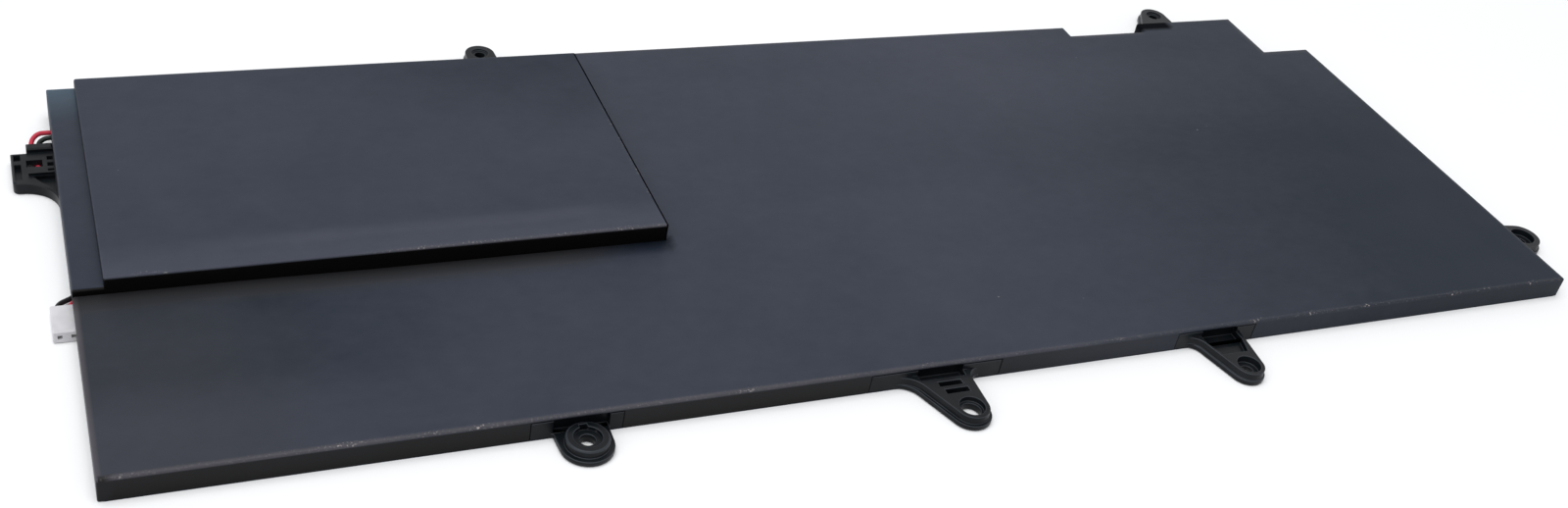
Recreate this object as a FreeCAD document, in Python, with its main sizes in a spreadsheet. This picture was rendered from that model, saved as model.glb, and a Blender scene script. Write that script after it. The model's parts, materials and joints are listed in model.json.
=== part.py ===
"""A thin laptop battery pack, modelled piece by piece.

The pack lies flat. While a piece is drawn, x runs along the long side from the left end, y runs from
the front edge to the back, and z runs up from the underside. Every piece is then moved by half the
slab's length and depth, so that the model's origin is the middle of the slab's underside.
"""

import FreeCAD, Part
import math
import os
import re

import Sketcher

Vector = FreeCAD.Vector
ARC_SHARE = 0.45  # part of the shorter run that an arc of a lead takes

SLAB_SIZES = (
    ("pack_length", 277.0, "long side of the slab"),
    ("pack_depth", 105.2, "short side of the slab"),
    ("pack_height", 4.4, "thickness of the slab"),
    ("notch_length", 12.4, "back right corner cut away, along x"),
    ("notch_depth", 15.4, "back right corner cut away, along y"),
    ("recess_inset", 39.0, "shallow recess in the back edge, its right end from the slab's right end"),
    ("recess_length", 20.3, "length of that recess"),
    ("recess_depth", 3.8, "depth of that recess"),
    ("step_length", 5.5, "back left corner step, along x"),
    ("step_depth", 5.4, "back left corner step, along y"),
    ("corner_radius", 1.2, "outer corners of the slab, seen from above"),
    ("nook_radius", 0.6, "inner corners of the slab, seen from above"),
    ("fold_radius", 0.9, "fold of the top film over the edge"),
    ("film_thick", 0.2, "wrapping film"),
    ("base_thick", 0.15, "film on the underside"),
    ("block_rise", 3.5, "height of the raised block above the slab"),
    ("block_left", 4.7, "left wall of the raised block"),
    ("block_right", 98.4, "right wall of the raised block"),
    ("block_front", 40.8, "front wall of the raised block"),
    ("block_fold", 0.5, "fold of the block's film"),
    ("strip_rise", 1.5, "height of the board cover above the slab"),
)
FRAME_SIZES = (
    ("frame_wall", 1.6, "outer wall of the frame"),
    ("rib_thick", 1.2, "rib between two cells"),
    ("channel_width", 2.4, "trough for the bus strips"),
    ("gate_gap", 0.2, "clearance of a metal strip in its gate through a rib"),
    ("board_bay", 12.6, "inner end of the circuit board's bay"),
    ("core_wall", 0.9, "wall round a cored-out pocket"),
    ("core_length", 14.0, "length of a cored-out pocket"),
    ("core_pitch", 16.0, "spacing of the cored-out pockets"),
    ("core_depth", 2.6, "depth of a cored-out pocket"),
    ("spacer_ribs", 3.0, "cross ribs in the empty bay at the right end"),
    ("fit_gap", 0.15, "clearance between fitted plastic pieces"),
    ("film_gap", 0.3, "clearance of a cut-out in the film round a lug"),
)
CELL_SIZES = (
    ("cell_thick", 3.6, "pouch cell"),
    ("cell_gap", 0.3, "clearance round a cell in its bay"),
    ("cell_round", 0.9, "rounded sides of a pouch"),
    ("pad_thick", 0.15, "double-sided pad under a cell"),
    ("pad_inset", 8.0, "pad edge inside the cell's edge"),
    ("seal_length", 1.6, "flat sealed edge that the tabs come out of"),
    ("seal_thick", 0.4, "flat sealed edge"),
    ("tab_width", 5.0, "metal tab of a cell"),
    ("tab_thick", 0.12, "metal tab of a cell"),
    ("tab_spread", 24.0, "distance between the two tabs of a cell"),
    ("strip_thick", 0.2, "bus strip"),
    ("strip_width", 1.8, "bus strip"),
)
LUG_SIZES = (
    ("web_depth", 1.2, "lug's foot, from the slab's face inwards"),
    ("web_height", 3.5, "top of a lug's foot"),
    ("flange_top", 1.05, "top of a lug's lower flange"),
    ("lug_top", 2.45, "top of a lug"),
    ("hollow_depth", 0.9, "hollow in a lug's foot"),
    ("floor_rise", 0.1, "floor of a lug's hollows above its flange"),
    ("screw_fit", 0.05, "clearance of a lug's foot in the frame, each side"),
)
LUG_NAMES = ("front_left", "front_middle", "front_right", "back_left", "back_right", "right_end")
LUG_ROWS = (
    ("at", (70.0, 5.0, 85.5, 81.9, 31.5, 16.9), "middle of the foot, as LUG_PLACES measures it"),
    ("foot", (7.5, 12.5, 8.5, 6.0, 7.0, 8.2), "half length of the foot"),
    ("lean", (-0.7, -2.4, -1.5, 0.0, 2.0, 0.4), "boss, along the wall from the foot's middle"),
    ("reach", (3.2, 8.8, 8.7, 4.8, 6.3, 4.3), "boss, out from the wall"),
    ("boss", (4.4, 3.7, 3.3, 3.2, 3.4, 4.1), "boss radius"),
    ("root_low", (5.2, 6.4, 5.7, 3.4, 5.2, 4.6), "arm at the wall, on its one side"),
    ("root_high", (3.9, 5.3, 4.5, 3.4, 5.5, 5.0), "arm at the wall, on its other side"),
    ("flare_low", (0.3, 2.2, 0.3, 0.4, 0.8, 3.0), "concave corner at the wall, on the one side"),
    ("flare_high", (0.5, 4.2, 2.6, 1.6, 0.5, 0.8), "concave corner, on the other side"),
    ("lip", (0.85, 0.6, 0.35, 0.25, 0.3, 0.4), "step between the flange and the body above it"),
    ("bore", (1.25, 1.7, 1.1, 1.05, 1.05, 1.2), "screw hole radius"),
    ("seat", (2.3, 2.25, 2.2, 1.7, 1.8, 2.5), "radius of the seat round the screw hole"),
    ("seat_depth", (1.3, 1.0, 1.4, 0.4, 0.5, 1.4), "depth of that seat"),
)
LUG_PLACES = {
    "front_left": "front_left_at",
    "front_middle": "pack_length / 2 - front_middle_at",
    "front_right": "pack_length - front_right_at",
    "back_left": "back_left_at",
    "back_right": "pack_length - back_right_at",
    "right_end": "right_end_at",
}
DETAIL_SIZES = (
    ("ring_edge", 0.2, "broken top edge of the front left lug's ring"),
    ("key_width", 1.3, "small key slot behind the front left screw seat"),
    ("key_length", 0.6, "how far that slot reaches past the seat"),
    ("window_width", 4.4, "windows across the front middle arm"),
    ("window_depth", 1.1, "front to back size of a window"),
    ("window_pitch", 1.9, "spacing of the windows"),
    ("window_start", 2.2, "first window, out from the wall"),
    ("window_slant", 0.45, "sideways shift of the second window"),
    ("window_shift", 1.2, "middle of the first window from the boss line"),
    ("trough_wall", 0.9, "side walls of the front right arm"),
    ("trough_start", 1.9, "trough in the front right arm, its inner end"),
    ("trough_end", 5.3, "trough in the front right arm, its outer end"),
    ("trough_depth", 1.0, "trough in the front right arm"),
    ("trough_slant", 1.2, "sideways slant of that trough's high side"),
)
BRACKET_SIZES = (
    ("bracket_floor", 0.8, "floor of the left end bracket"),
    ("bracket_wall", 0.8, "low walls of that bracket"),
    ("bracket_low_wall", 1.6, "top of those walls"),
    ("clip_inset", 12.8, "lead clip's back face, in front of the block's back wall"),
    ("clip_length", 1.7, "lead clip, along y"),
    ("arm_width", 9.3, "the bracket's arm, along y"),
    ("arm_edge", 0.25, "broken top edges of the arm and the clip"),
    ("arm_reach", 6.9, "reach of the arm past the slab's end"),
    ("arm_top", 2.2, "top of the arm"),
    ("arm_flare", 5.6, "concave front corner of the arm at the wall"),
    ("arm_corner", 1.1, "rounded front outer corner of the arm"),
    ("clip_reach", 4.3, "reach of the lead clip past the slab's end"),
    ("clip_top", 3.0, "top of the lead clip"),
    ("clip_roof", 0.4, "roof of the lead clip over the leads"),
    ("window_inset", 2.4, "window over the leads, in front of the arm's back edge"),
    ("window_length", 2.0, "that window, along y"),
    ("window_out", 4.5, "outer edge of that window from the slab's end"),
    ("window_in", 1.9, "inner edge of that window from the slab's end"),
    ("slot_width", 1.1, "slots along the arm's outer end"),
    ("slot_length", 4.6, "front one of those slots, along y"),
    ("slot_short", 1.8, "back one of those slots, along y"),
    ("slot_rim", 0.45, "rim outside those slots"),
    ("slot_depth", 0.9, "depth of those slots"),
    ("comb_width", 1.0, "comb beside the wall"),
    ("comb_gap", 1.1, "gap between two teeth of the comb"),
    ("comb_pitch", 1.9, "spacing of the teeth"),
    ("crest_width", 0.5, "raised rib across the arm"),
    ("crest_rise", 0.5, "height of that rib above the arm"),
    ("crest_inset", 2.4, "middle of that rib, in front of the window"),
    ("dip_depth", 0.7, "sunk web in front of that rib"),
    ("dip_rim", 0.5, "rim round the sunk web"),
    ("dip_reach", 3.6, "outer end of the sunk web, from the slab's end"),
    ("clip_wall", 0.35, "wall of the lead way, outer side"),
    ("way_width", 2.9, "lead way under the arm"),
    ("way_turn", 5.3, "start of the way's slant towards the slab, in front of the arm's back edge"),
    ("way_end", 5.9, "inner side of the lead way in the bracket's floor"),
    ("cover_thick", 0.8, "board cover"),
    ("lead_gate_inset", 0.5, "slot in the cover for the leads, behind the clip"),
    ("lead_gate_length", 3.3, "that slot, along y"),
    ("lead_gate_low", 2.4, "bottom of that slot"),
    ("lead_gate_high", 4.3, "top of that slot"),
    ("low_gate_length", 8.8, "gap under the cover's wall at the plug, from the block's front wall"),
    ("low_gate_top", 2.5, "top of the gap that the plug and its leads pass through"),
    ("arm_gate_inset", 0.3, "gap under the cover's wall, behind the arm's front edge"),
    ("arm_gate_length", 5.6, "that gap, along y"),
)
BOARD_SIZES = (
    ("board_thick", 0.6, "circuit board"),
    ("board_inset", 5.2, "front edge of the circuit board, behind the block's front wall"),
    ("board_gap", 0.4, "clearance round the circuit board"),
    ("post_radius", 0.9, "posts that carry the circuit board"),
    ("post_margin", 1.4, "middle of a post from the board's edge"),
    ("post_pitch", 15.5, "spacing of the posts"),
    ("link_width", 2.4, "metal link from the trough to the board"),
    ("link_at", 7.5, "middle of that link"),
    ("chip_size", 5.0, "fuel gauge chip, square"),
    ("switch_pitch", 4.6, "spacing of the switches"),
    ("chip_thick", 0.9, "fuel gauge chip"),
    ("switch_length", 3.3, "charge and discharge switch"),
    ("switch_thick", 0.8, "charge and discharge switch"),
    ("shunt_length", 6.3, "sense resistor"),
    ("shunt_width", 3.2, "sense resistor"),
    ("shunt_thick", 0.6, "sense resistor"),
    ("fuse_length", 4.0, "chip fuse"),
    ("fuse_width", 2.6, "chip fuse"),
    ("fuse_thick", 1.2, "chip fuse"),
    ("small_length", 1.0, "small capacitor or resistor"),
    ("small_width", 0.5, "small capacitor or resistor"),
    ("small_thick", 0.5, "small capacitor or resistor"),
    ("small_pitch", 1.6, "spacing of the small components"),
    ("sensor_length", 3.0, "temperature sensor on a cell"),
    ("sensor_width", 1.4, "temperature sensor on a cell"),
    ("sensor_thick", 0.2, "temperature sensor on a cell"),
)
BOARD_SHARES = {
    "shunt": "0.17",
    "capacitor": "0.276",
    "chip": "0.361",
    "switch": "0.523",
    "resistor": "0.66",
    "fuse": "0.78",
}
LEAD_SIZES = (
    ("lead_radius", 0.42, "insulated lead"),
    ("lead_pitch", 1.15, "spacing of the leads"),
    ("lead_clear", 0.1, "lead above the underside film"),
    ("lead_bend", 4.0, "start of the leads' bend towards the plug, behind the plug"),
    ("lead_stagger", 0.5, "bends of a lead along y from those of the lead beside it"),
    ("lead_slant", 0.95, "sideways shift of a lead from the clip to the window"),
    ("plug_left", 3.35, "plug's outer side, past the slab's end"),
    ("plug_width", 6.05, "plug, along x"),
    ("plug_pitch", 2.0, "spacing of the plug's ways"),
    ("plug_inset", 5.2, "plug's mating face, in front of the block's front wall"),
    ("plug_length", 6.8, "plug, along y"),
    ("plug_height", 2.0, "plug"),
    ("plug_edge", 0.25, "broken edges of the plug"),
    ("pole_size", 0.7, "square way of the plug"),
    ("contact_size", 0.5, "plug contact"),
    ("contact_back", 1.6, "end of a contact inside the plug's back"),
    ("contact_front", 0.8, "end of a contact inside the mating face"),
    ("entry_radius", 0.54, "round entry of a lead into the plug"),
)

BASE_PLACES = {
    "frame_top": "pack_height - film_thick",
    "wall_in": "film_thick + frame_wall",
    "notch_x": "pack_length - notch_length",
    "notch_y": "pack_depth - notch_depth",
    "recess_end": "pack_length - recess_inset",
    "recess_start": "recess_end - recess_length",
    "recess_y": "pack_depth - recess_depth",
    "step_y": "pack_depth - step_depth",
    "block_back": "step_y",
    "cover_top": "pack_height + strip_rise",
    "block_top": "pack_height + block_rise",
    "row_wall": "block_front - film_thick",
    "back_row": "row_wall + rib_thick",
    "channel_y": "row_wall - channel_width",
    "front_row_end": "channel_y - rib_thick",
    "back_row_end": "block_back - film_thick",
    "stack_end": "block_right - rib_thick + film_thick",
    "stack_start": "board_bay + rib_thick",
    "middle_start": "stack_end + rib_thick",
    "spacer_wall": "notch_x - film_thick - frame_wall",
    "middle_rib": "(middle_start + spacer_wall) / 2 - rib_thick / 2",
    "middle_rib_end": "(middle_start + spacer_wall) / 2 + rib_thick / 2",
    "front_rib": "pack_length / 2 - rib_thick / 2",
    "front_rib_end": "pack_length / 2 + rib_thick / 2",
    "spacer_start": "notch_x - film_thick",
    "spacer_end": "pack_length - wall_in",
    "spacer_back": "notch_y - wall_in",
    "cell_low": "base_thick + pad_thick",
    "cell_high": "cell_low + cell_thick",
    "stack_low": "cell_high + pad_thick",
    "clip_back": "block_back - clip_inset",
    "arm_back": "clip_back - clip_length",
    "arm_front": "arm_back - arm_width",
    "window_back": "arm_back - window_inset",
    "window_front": "window_back - window_length",
    "crest_at": "window_front - crest_inset",
    "lead_gate_front": "clip_back + lead_gate_inset",
    "lead_gate_back": "lead_gate_front + lead_gate_length",
    "low_gate_back": "block_front + low_gate_length",
    "flare_end": "arm_front - arm_flare - fit_gap",
    "arm_gate_front": "arm_front + arm_gate_inset",
    "arm_gate_back": "arm_gate_front + arm_gate_length",
    "board_front": "block_front + board_inset",
    "board_left": "cover_thick + board_gap",
    "board_middle": "(board_left + board_right) / 2",
    "board_right": "bay_end - cover_thick - board_gap",
    "board_back": "block_back - cover_thick - board_gap",
    "lead_level": "base_thick + lead_clear + lead_radius",
    "tab_level": "cell_low + cell_thick / 2 + seal_thick / 2",
    "strip_level": "tab_level + tab_thick",
    "board_level": "strip_level - board_thick",
    "pole_level": "base_thick + plug_height / 2",
    "plug_middle": "plug_width / 2 - plug_left",
    "bay_end": "board_bay - fit_gap",
    "plug_front": "block_front - plug_inset",
    "plug_back": "plug_front + plug_length",
}


def all_sizes():
    """Every driving dimension as (alias, value, note), the lugs' table spread out by lug."""
    rows = list(SLAB_SIZES + FRAME_SIZES + CELL_SIZES + LUG_SIZES)
    for word, values, note in LUG_ROWS:
        for lug, value in zip(LUG_NAMES, values):
            rows.append((f"{lug}_{word}", value, f"{note}, {lug.replace('_', ' ')} lug"))
    return rows + list(DETAIL_SIZES + BRACKET_SIZES + BOARD_SIZES + LEAD_SIZES)


doc = FreeCAD.newDocument("laptop_battery")
sheet = doc.addObject("Spreadsheet::Sheet", "Sizes")
for row, (alias, number, note) in enumerate(all_sizes(), start=1):
    sheet.set(f"A{row}", alias)
    sheet.set(f"B{row}", str(number))
    sheet.setAlias(f"B{row}", alias)
    sheet.set(f"C{row}", note)
doc.recompute()
size = {alias: float(sheet.get(alias)) for alias, number, note in all_sizes()}
sub_parts = []


def bound(text):
    """A formula in plain size names, turned into one that reads the sheet."""

    def swap(match):
        word = match.group(0)
        if word in BASE_PLACES:
            return f"({bound(BASE_PLACES[word])})"
        return f"Sizes.{word}" if word in size else word

    return re.sub(r"[a-z_][a-z0-9_]*", swap, str(text))


def bind(thing, **formulas):
    """Bind properties of one object to formulas."""
    for name, text in formulas.items():
        thing.setExpression(name, bound(text))


def settle(thing, label):
    """Name a finished piece and move it from the slab's corner to the model's origin."""
    thing.Label = label
    thing.setExpression(".Placement.Base.x", bound("-pack_length / 2"))
    thing.setExpression(".Placement.Base.y", bound("-pack_depth / 2"))
    sub_parts.append(thing)
    return thing


# Sketches and features of the moulded and cut pieces


def new_body(name):
    return doc.addObject("PartDesign::Body", name)


def new_sketch(body, name, level):
    """A sketch on the body's horizontal plane, raised to a level."""
    plane = [f for f in body.Origin.OriginFeatures if f.Role == "XY_Plane"][0]
    sketch = body.newObject("Sketcher::SketchObject", name)
    sketch.AttachmentSupport = [(plane, "")]
    sketch.MapMode = "FlatFace"
    sketch.setExpression(".AttachmentOffset.Base.z", bound(level))
    return sketch


def pin_point(sketch, element, point, x, y):
    """Hold one point of a sketch at a place given by two formulas."""
    for kind, text in (("DistanceX", x), ("DistanceY", y)):
        index = sketch.addConstraint(Sketcher.Constraint(kind, -1, 1, element, point, 1.0))
        sketch.setExpression(f"Constraints[{index}]", bound(text))


def add_loop(sketch, corners):
    """A closed run of straight lines through corners that are pairs of formulas."""
    first, count = sketch.GeometryCount, len(corners)
    ring = [
        Vector(math.cos(2 * math.pi * i / count), math.sin(2 * math.pi * i / count), 0)
        for i in range(count)
    ]
    for i in range(count):
        sketch.addGeometry(Part.LineSegment(ring[i], ring[(i + 1) % count]))
    for i in range(count):
        after = first + (i + 1) % count
        sketch.addConstraint(Sketcher.Constraint("Coincident", first + i, 2, after, 1))
    for i, (x, y) in enumerate(corners):
        pin_point(sketch, first + i, 1, x, y)


def add_rectangle(sketch, x0, x1, y0, y1):
    add_loop(sketch, [(x0, y0), (x1, y0), (x1, y1), (x0, y1)])


def add_circle(sketch, x, y, radius):
    index = sketch.addGeometry(Part.Circle(Vector(0, 0, 0), Vector(0, 0, 1), 1.0))
    pin_point(sketch, index, 3, x, y)
    held = sketch.addConstraint(Sketcher.Constraint("Radius", index, 1.0))
    sketch.setExpression(f"Constraints[{held}]", bound(radius))


def pad(body, sketch, length):
    feature = body.newObject("PartDesign::Pad", f"{sketch.Name}_pad")
    feature.Profile = sketch
    bind(feature, Length=length)
    doc.recompute()
    return feature


def pocket(body, sketch, depth):
    """Cut downwards from a sketch, and make sure that something was cut."""
    before = body.Shape.Volume
    feature = body.newObject("PartDesign::Pocket", f"{sketch.Name}_pocket")
    feature.Profile = sketch
    bind(feature, Length=depth)
    doc.recompute()
    if not 0 < body.Shape.Volume < before:
        raise ValueError(f"{feature.Name} cuts nothing, or all")
    return feature


def corner_points(sketch, indices):
    """Where chosen corners of a sketched loop have come to lie."""
    return [sketch.Geometry[i].StartPoint for i in indices]


def upright_edges(shape, points, reach=0.02):
    """Names of the upright edges that stand at the given points."""
    names = []
    for number, edge in enumerate(shape.Edges, start=1):
        if len(edge.Vertexes) != 2:
            continue
        low, high = (v.Point for v in edge.Vertexes)
        if math.hypot(low.x - high.x, low.y - high.y) > reach:
            continue
        if any(math.hypot(low.x - p.x, low.y - p.y) < reach for p in points):
            names.append(f"Edge{number}")
    return names


def level_edges(shape, level, wanted=lambda middle: True):
    """Names of the edges that lie wholly at one height, narrowed by a test of their middle."""
    names = []
    for number, edge in enumerate(shape.Edges, start=1):
        box = edge.BoundBox
        if abs(box.ZMin - level) < 1e-4 and abs(box.ZMax - level) < 1e-4:
            if wanted(edge.valueAt((edge.FirstParameter + edge.LastParameter) / 2)):
                names.append(f"Edge{number}")
    return names


def round_edges(body, feature, names, radius, kind="Fillet"):
    """Fillet or chamfer named edges of a body's last feature."""
    if not names:
        raise ValueError(f"{body.Name} has no edge to round at {feature.Name}")
    rounded = body.newObject(f"PartDesign::{kind}", f"{feature.Name}_{kind.lower()}")
    rounded.Base = (feature, names)
    bind(rounded, **{"Radius" if kind == "Fillet" else "Size": radius})
    doc.recompute()
    if rounded.Shape.isNull() or not rounded.Shape.isValid():
        raise ValueError(f"{rounded.Name} is not a valid solid")
    return rounded


# Plain blocks for small parts


def block(name, x0, x1, y0, y1, z0, z1):
    """A box between formulas, as one primitive."""
    box = doc.addObject("Part::Box", name)
    bind(box, Length=f"({x1}) - ({x0})", Width=f"({y1}) - ({y0})", Height=f"({z1}) - ({z0})")
    for axis, text in (("x", x0), ("y", y0), ("z", z0)):
        box.setExpression(f".Placement.Base.{axis}", bound(text))
    return box


def group(name, pieces):
    """Separate solids that share one node."""
    whole = doc.addObject("Part::Compound", name)
    whole.Links = pieces
    return whole


# Slab: frame and films


def slab_corners(inset):
    """Corners of the slab's outline, moved inwards by an inset, from the front left corner on."""
    low, far = f"{inset}", f"pack_length - {inset}"
    back = f"pack_depth - {inset}"
    notch_x, notch_y = f"notch_x - {inset}", f"notch_y - {inset}"
    recess_y, step_y = f"recess_y - {inset}", f"step_y - {inset}"
    return [
        (low, low),
        (far, low),
        (far, notch_y),
        (notch_x, notch_y),
        (notch_x, back),
        (f"recess_end + {inset}", back),
        (f"recess_end + {inset}", recess_y),
        (f"recess_start - {inset}", recess_y),
        (f"recess_start - {inset}", back),
        (f"step_length + {inset}", back),
        (f"step_length + {inset}", step_y),
        (low, step_y),
    ]


def turning_points(sketch, outwards):
    """Corners of an anticlockwise loop that point outwards, or else those that point inwards."""
    points = [line.StartPoint for line in sketch.Geometry]
    found = []
    for before, here, after in zip(points[-1:] + points, points, points[1:] + points[:1]):
        turn = (here - before).cross(after - here).z
        if (turn > 0) == outwards:
            found.append(here)
    return found


def slab_solid(name, inset, low, high, fold, kind="Fillet"):
    """The slab's outline as a body with rounded corners and a folded top edge."""
    body = new_body(name)
    sketch = new_sketch(body, f"{name}_outline", low)
    add_loop(sketch, slab_corners(inset))
    last = pad(body, sketch, f"({high}) - ({low})")
    names = upright_edges(last.Shape, turning_points(sketch, True))
    last = round_edges(body, last, names, f"corner_radius - {inset}")
    names = upright_edges(last.Shape, turning_points(sketch, False))
    last = round_edges(body, last, names, f"nook_radius + {inset}")
    if fold:
        names = level_edges(last.Shape, last.Shape.BoundBox.ZMax)
        last = round_edges(body, last, names, fold, kind)
    return body


def lug_reach(lug, margin, depth, outside):
    """The rectangle that a lug's foot takes in its wall, as formulas x0, x1, y0, y1."""
    place = LUG_PLACES[lug]
    along = (f"{place} - {lug}_foot - {margin}", f"{place} + {lug}_foot + {margin}")
    if lug.startswith("front"):
        return (*along, f"-{outside}", depth)
    if lug.startswith("back"):
        return (*along, f"pack_depth - ({depth})", f"pack_depth + {outside}")
    return (f"pack_length - ({depth})", f"pack_length + {outside}", *along)


def make_frame():
    """Moulded frame: outer wall, cell bays, trough for the bus strips and seats for the lugs."""
    fold = "fold_radius - film_thick"
    body = slab_solid("frame", "film_thick", "base_thick", "frame_top", fold, "Chamfer")
    bays = new_sketch(body, "bays", "frame_top")
    add_rectangle(bays, "wall_in", "front_rib", "wall_in", "front_row_end")
    add_rectangle(bays, "front_rib_end", "pack_length - wall_in", "wall_in", "front_row_end")
    add_rectangle(bays, "stack_start", "stack_end", "back_row", "back_row_end")
    add_rectangle(bays, "middle_start", "middle_rib", "back_row", "back_row_end")
    add_rectangle(bays, "middle_rib_end", "spacer_wall", "back_row", "back_row_end")
    add_rectangle(bays, "-1", "board_bay", "back_row", "block_back + fit_gap")
    pocket(body, bays, "pack_height")
    channel = new_sketch(body, "channel", "frame_top")
    add_rectangle(channel, "wall_in + rib_thick", "spacer_wall", "channel_y", "row_wall")
    pocket(body, channel, "frame_top - tab_level")
    gates = new_sketch(body, "tab_gates", "frame_top")
    for name, x0, x1 in FRONT_BAYS:
        for left, right in tab_sides(x0, x1):
            across = ("front_row_end - gate_gap", "channel_y + gate_gap")
            add_rectangle(gates, f"{left} - gate_gap", f"{right} + gate_gap", *across)
    across = ("row_wall - gate_gap", "back_row + gate_gap")
    for name, x0, x1 in BACK_BAYS:
        for left, right in tab_sides(x0, x1):
            add_rectangle(gates, f"{left} - gate_gap", f"{right} + gate_gap", *across)
    link = ("link_at - link_width / 2 - gate_gap", "link_at + link_width / 2 + gate_gap")
    add_rectangle(gates, *link, *across)
    pocket(body, gates, "frame_top - tab_level")
    spacer = new_sketch(body, "spacer", "frame_top")
    count = int(size["spacer_ribs"]) + 1
    step = f"((spacer_back - back_row + rib_thick) / {count})"
    for i in range(count):
        start = f"back_row + {i} * {step}"
        add_rectangle(spacer, "spacer_start", "spacer_end", start, f"{start} + {step} - rib_thick")
    pocket(body, spacer, "pack_height")
    cores = new_sketch(body, "cores", "frame_top")
    core_y = ("back_row_end + core_wall", "pack_depth - wall_in")
    for i in core_numbers():
        start = f"stack_start + core_wall + {i} * core_pitch"
        add_rectangle(cores, start, f"{start} + core_length", *core_y)
    pocket(body, cores, "core_depth")
    seats = new_sketch(body, "seats", "web_height + fit_gap")
    for lug in LUG_NAMES:
        add_rectangle(seats, *lug_reach(lug, "screw_fit", "web_depth", 1))
    pocket(body, seats, "pack_height")
    gate = new_sketch(body, "plug_bay", "base_thick + plug_height + fit_gap")
    bay_x = ("-1", "plug_width - plug_left + fit_gap")
    add_rectangle(gate, *bay_x, "plug_front - fit_gap", "back_row + 1")
    pocket(body, gate, "pack_height")
    return settle(body, "frame")


def tab_sides(x0, x1):
    """Left and right sides of the two tabs of a cell that fills a bay from x0 to x1."""
    middle = f"(({x0}) + ({x1})) / 2"
    return [
        (
            f"{middle} + {side} * tab_spread / 2 - tab_width / 2",
            f"{middle} + {side} * tab_spread / 2 + tab_width / 2",
        )
        for side in (-1, 1)
    ]


def core_numbers():
    """Which cored-out pockets of the back rail fit, clear of the recess in the slab's back edge."""
    start = size["board_bay"] + size["rib_thick"] + size["core_wall"]
    length, pitch = size["core_length"], size["core_pitch"]
    margin = size["film_thick"] + size["frame_wall"]
    end = size["pack_length"] - size["notch_length"] - margin
    recess_end = size["pack_length"] - size["recess_inset"]
    taken = (recess_end - size["recess_length"] - margin, recess_end + margin)
    kept = []
    for i in range(int((end - start - length) / pitch) + 1):
        low = start + i * pitch
        if low + length < taken[0] or low > taken[1]:
            kept.append(i)
    return kept


def film_shell(name, label, outer, hollow):
    """A film as its outer solid with the space inside it cut away."""
    cut = doc.addObject("Part::Cut", name)
    cut.Base = outer
    cut.Tool = hollow
    return settle(cut, label)


def make_slab_film():
    outer = slab_solid("film_outer", "0", "base_thick", "pack_height", "fold_radius")
    gaps = new_sketch(outer, "lug_gaps", "web_height + film_gap")
    for lug in LUG_NAMES:
        add_rectangle(gaps, *lug_reach(lug, "film_gap", "web_depth", 1))
    pocket(outer, gaps, "pack_height")
    plug_gap = new_sketch(outer, "plug_gap", "base_thick + plug_height + film_gap")
    add_rectangle(plug_gap, "-1", "web_depth", "plug_front - film_gap", "block_front + 1")
    pocket(outer, plug_gap, "pack_height")
    window = new_sketch(outer, "block_window", "pack_height + 1")
    add_rectangle(window, "-1", "block_right", "block_front", "block_back")
    pocket(outer, window, "pack_height + 2")
    fold = "fold_radius - 2 * film_thick"
    hollow = slab_solid("film_inner", "film_thick", "0", "frame_top", fold, "Chamfer")
    return film_shell("slab_film", "top_film", outer, hollow)


def make_base_film():
    body = slab_solid("base_film", "0", "0", "base_thick", None)
    return settle(body, "bottom_film")


def make_block_film():
    """Film over the raised block: a shallow lid that stands on the frame and the board cover."""
    outer = new_body("block_outer")
    outline = new_sketch(outer, "block_outline", "frame_top")
    add_rectangle(outline, "block_left", "block_right", "block_front", "block_back")
    last = pad(outer, outline, "block_top - (frame_top)")
    corners = upright_edges(last.Shape, corner_points(outline, range(4)))
    last = round_edges(outer, last, corners, "block_fold + film_thick")
    names = level_edges(last.Shape, last.Shape.BoundBox.ZMax)
    round_edges(outer, last, names, "block_fold")
    inside = new_body("block_inner")
    space = new_sketch(inside, "block_space", "frame_top - 1")
    sides = ("block_left + film_thick", "block_right - film_thick")
    add_rectangle(space, *sides, "block_front + film_thick", "block_back - film_thick")
    last = pad(inside, space, "block_top - film_thick - (frame_top - 1)")
    corners = upright_edges(last.Shape, corner_points(space, range(4)))
    last = round_edges(inside, last, corners, "block_fold")
    names = level_edges(last.Shape, last.Shape.BoundBox.ZMax)
    round_edges(inside, last, names, "block_fold - film_thick", "Chamfer")
    lid = doc.addObject("Part::Cut", "block_lid")
    lid.Base, lid.Tool = outer, inside
    left = block(
        "cover_room", "block_left - 1", "board_bay", "block_front + film_thick", "block_back + 1",
        "frame_top - 1", "cover_top",
    )
    trimmed = doc.addObject("Part::Cut", "block_trimmed")
    trimmed.Base, trimmed.Tool = lid, left
    return settle(trimmed, "block_film")


# Screw lugs


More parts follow.
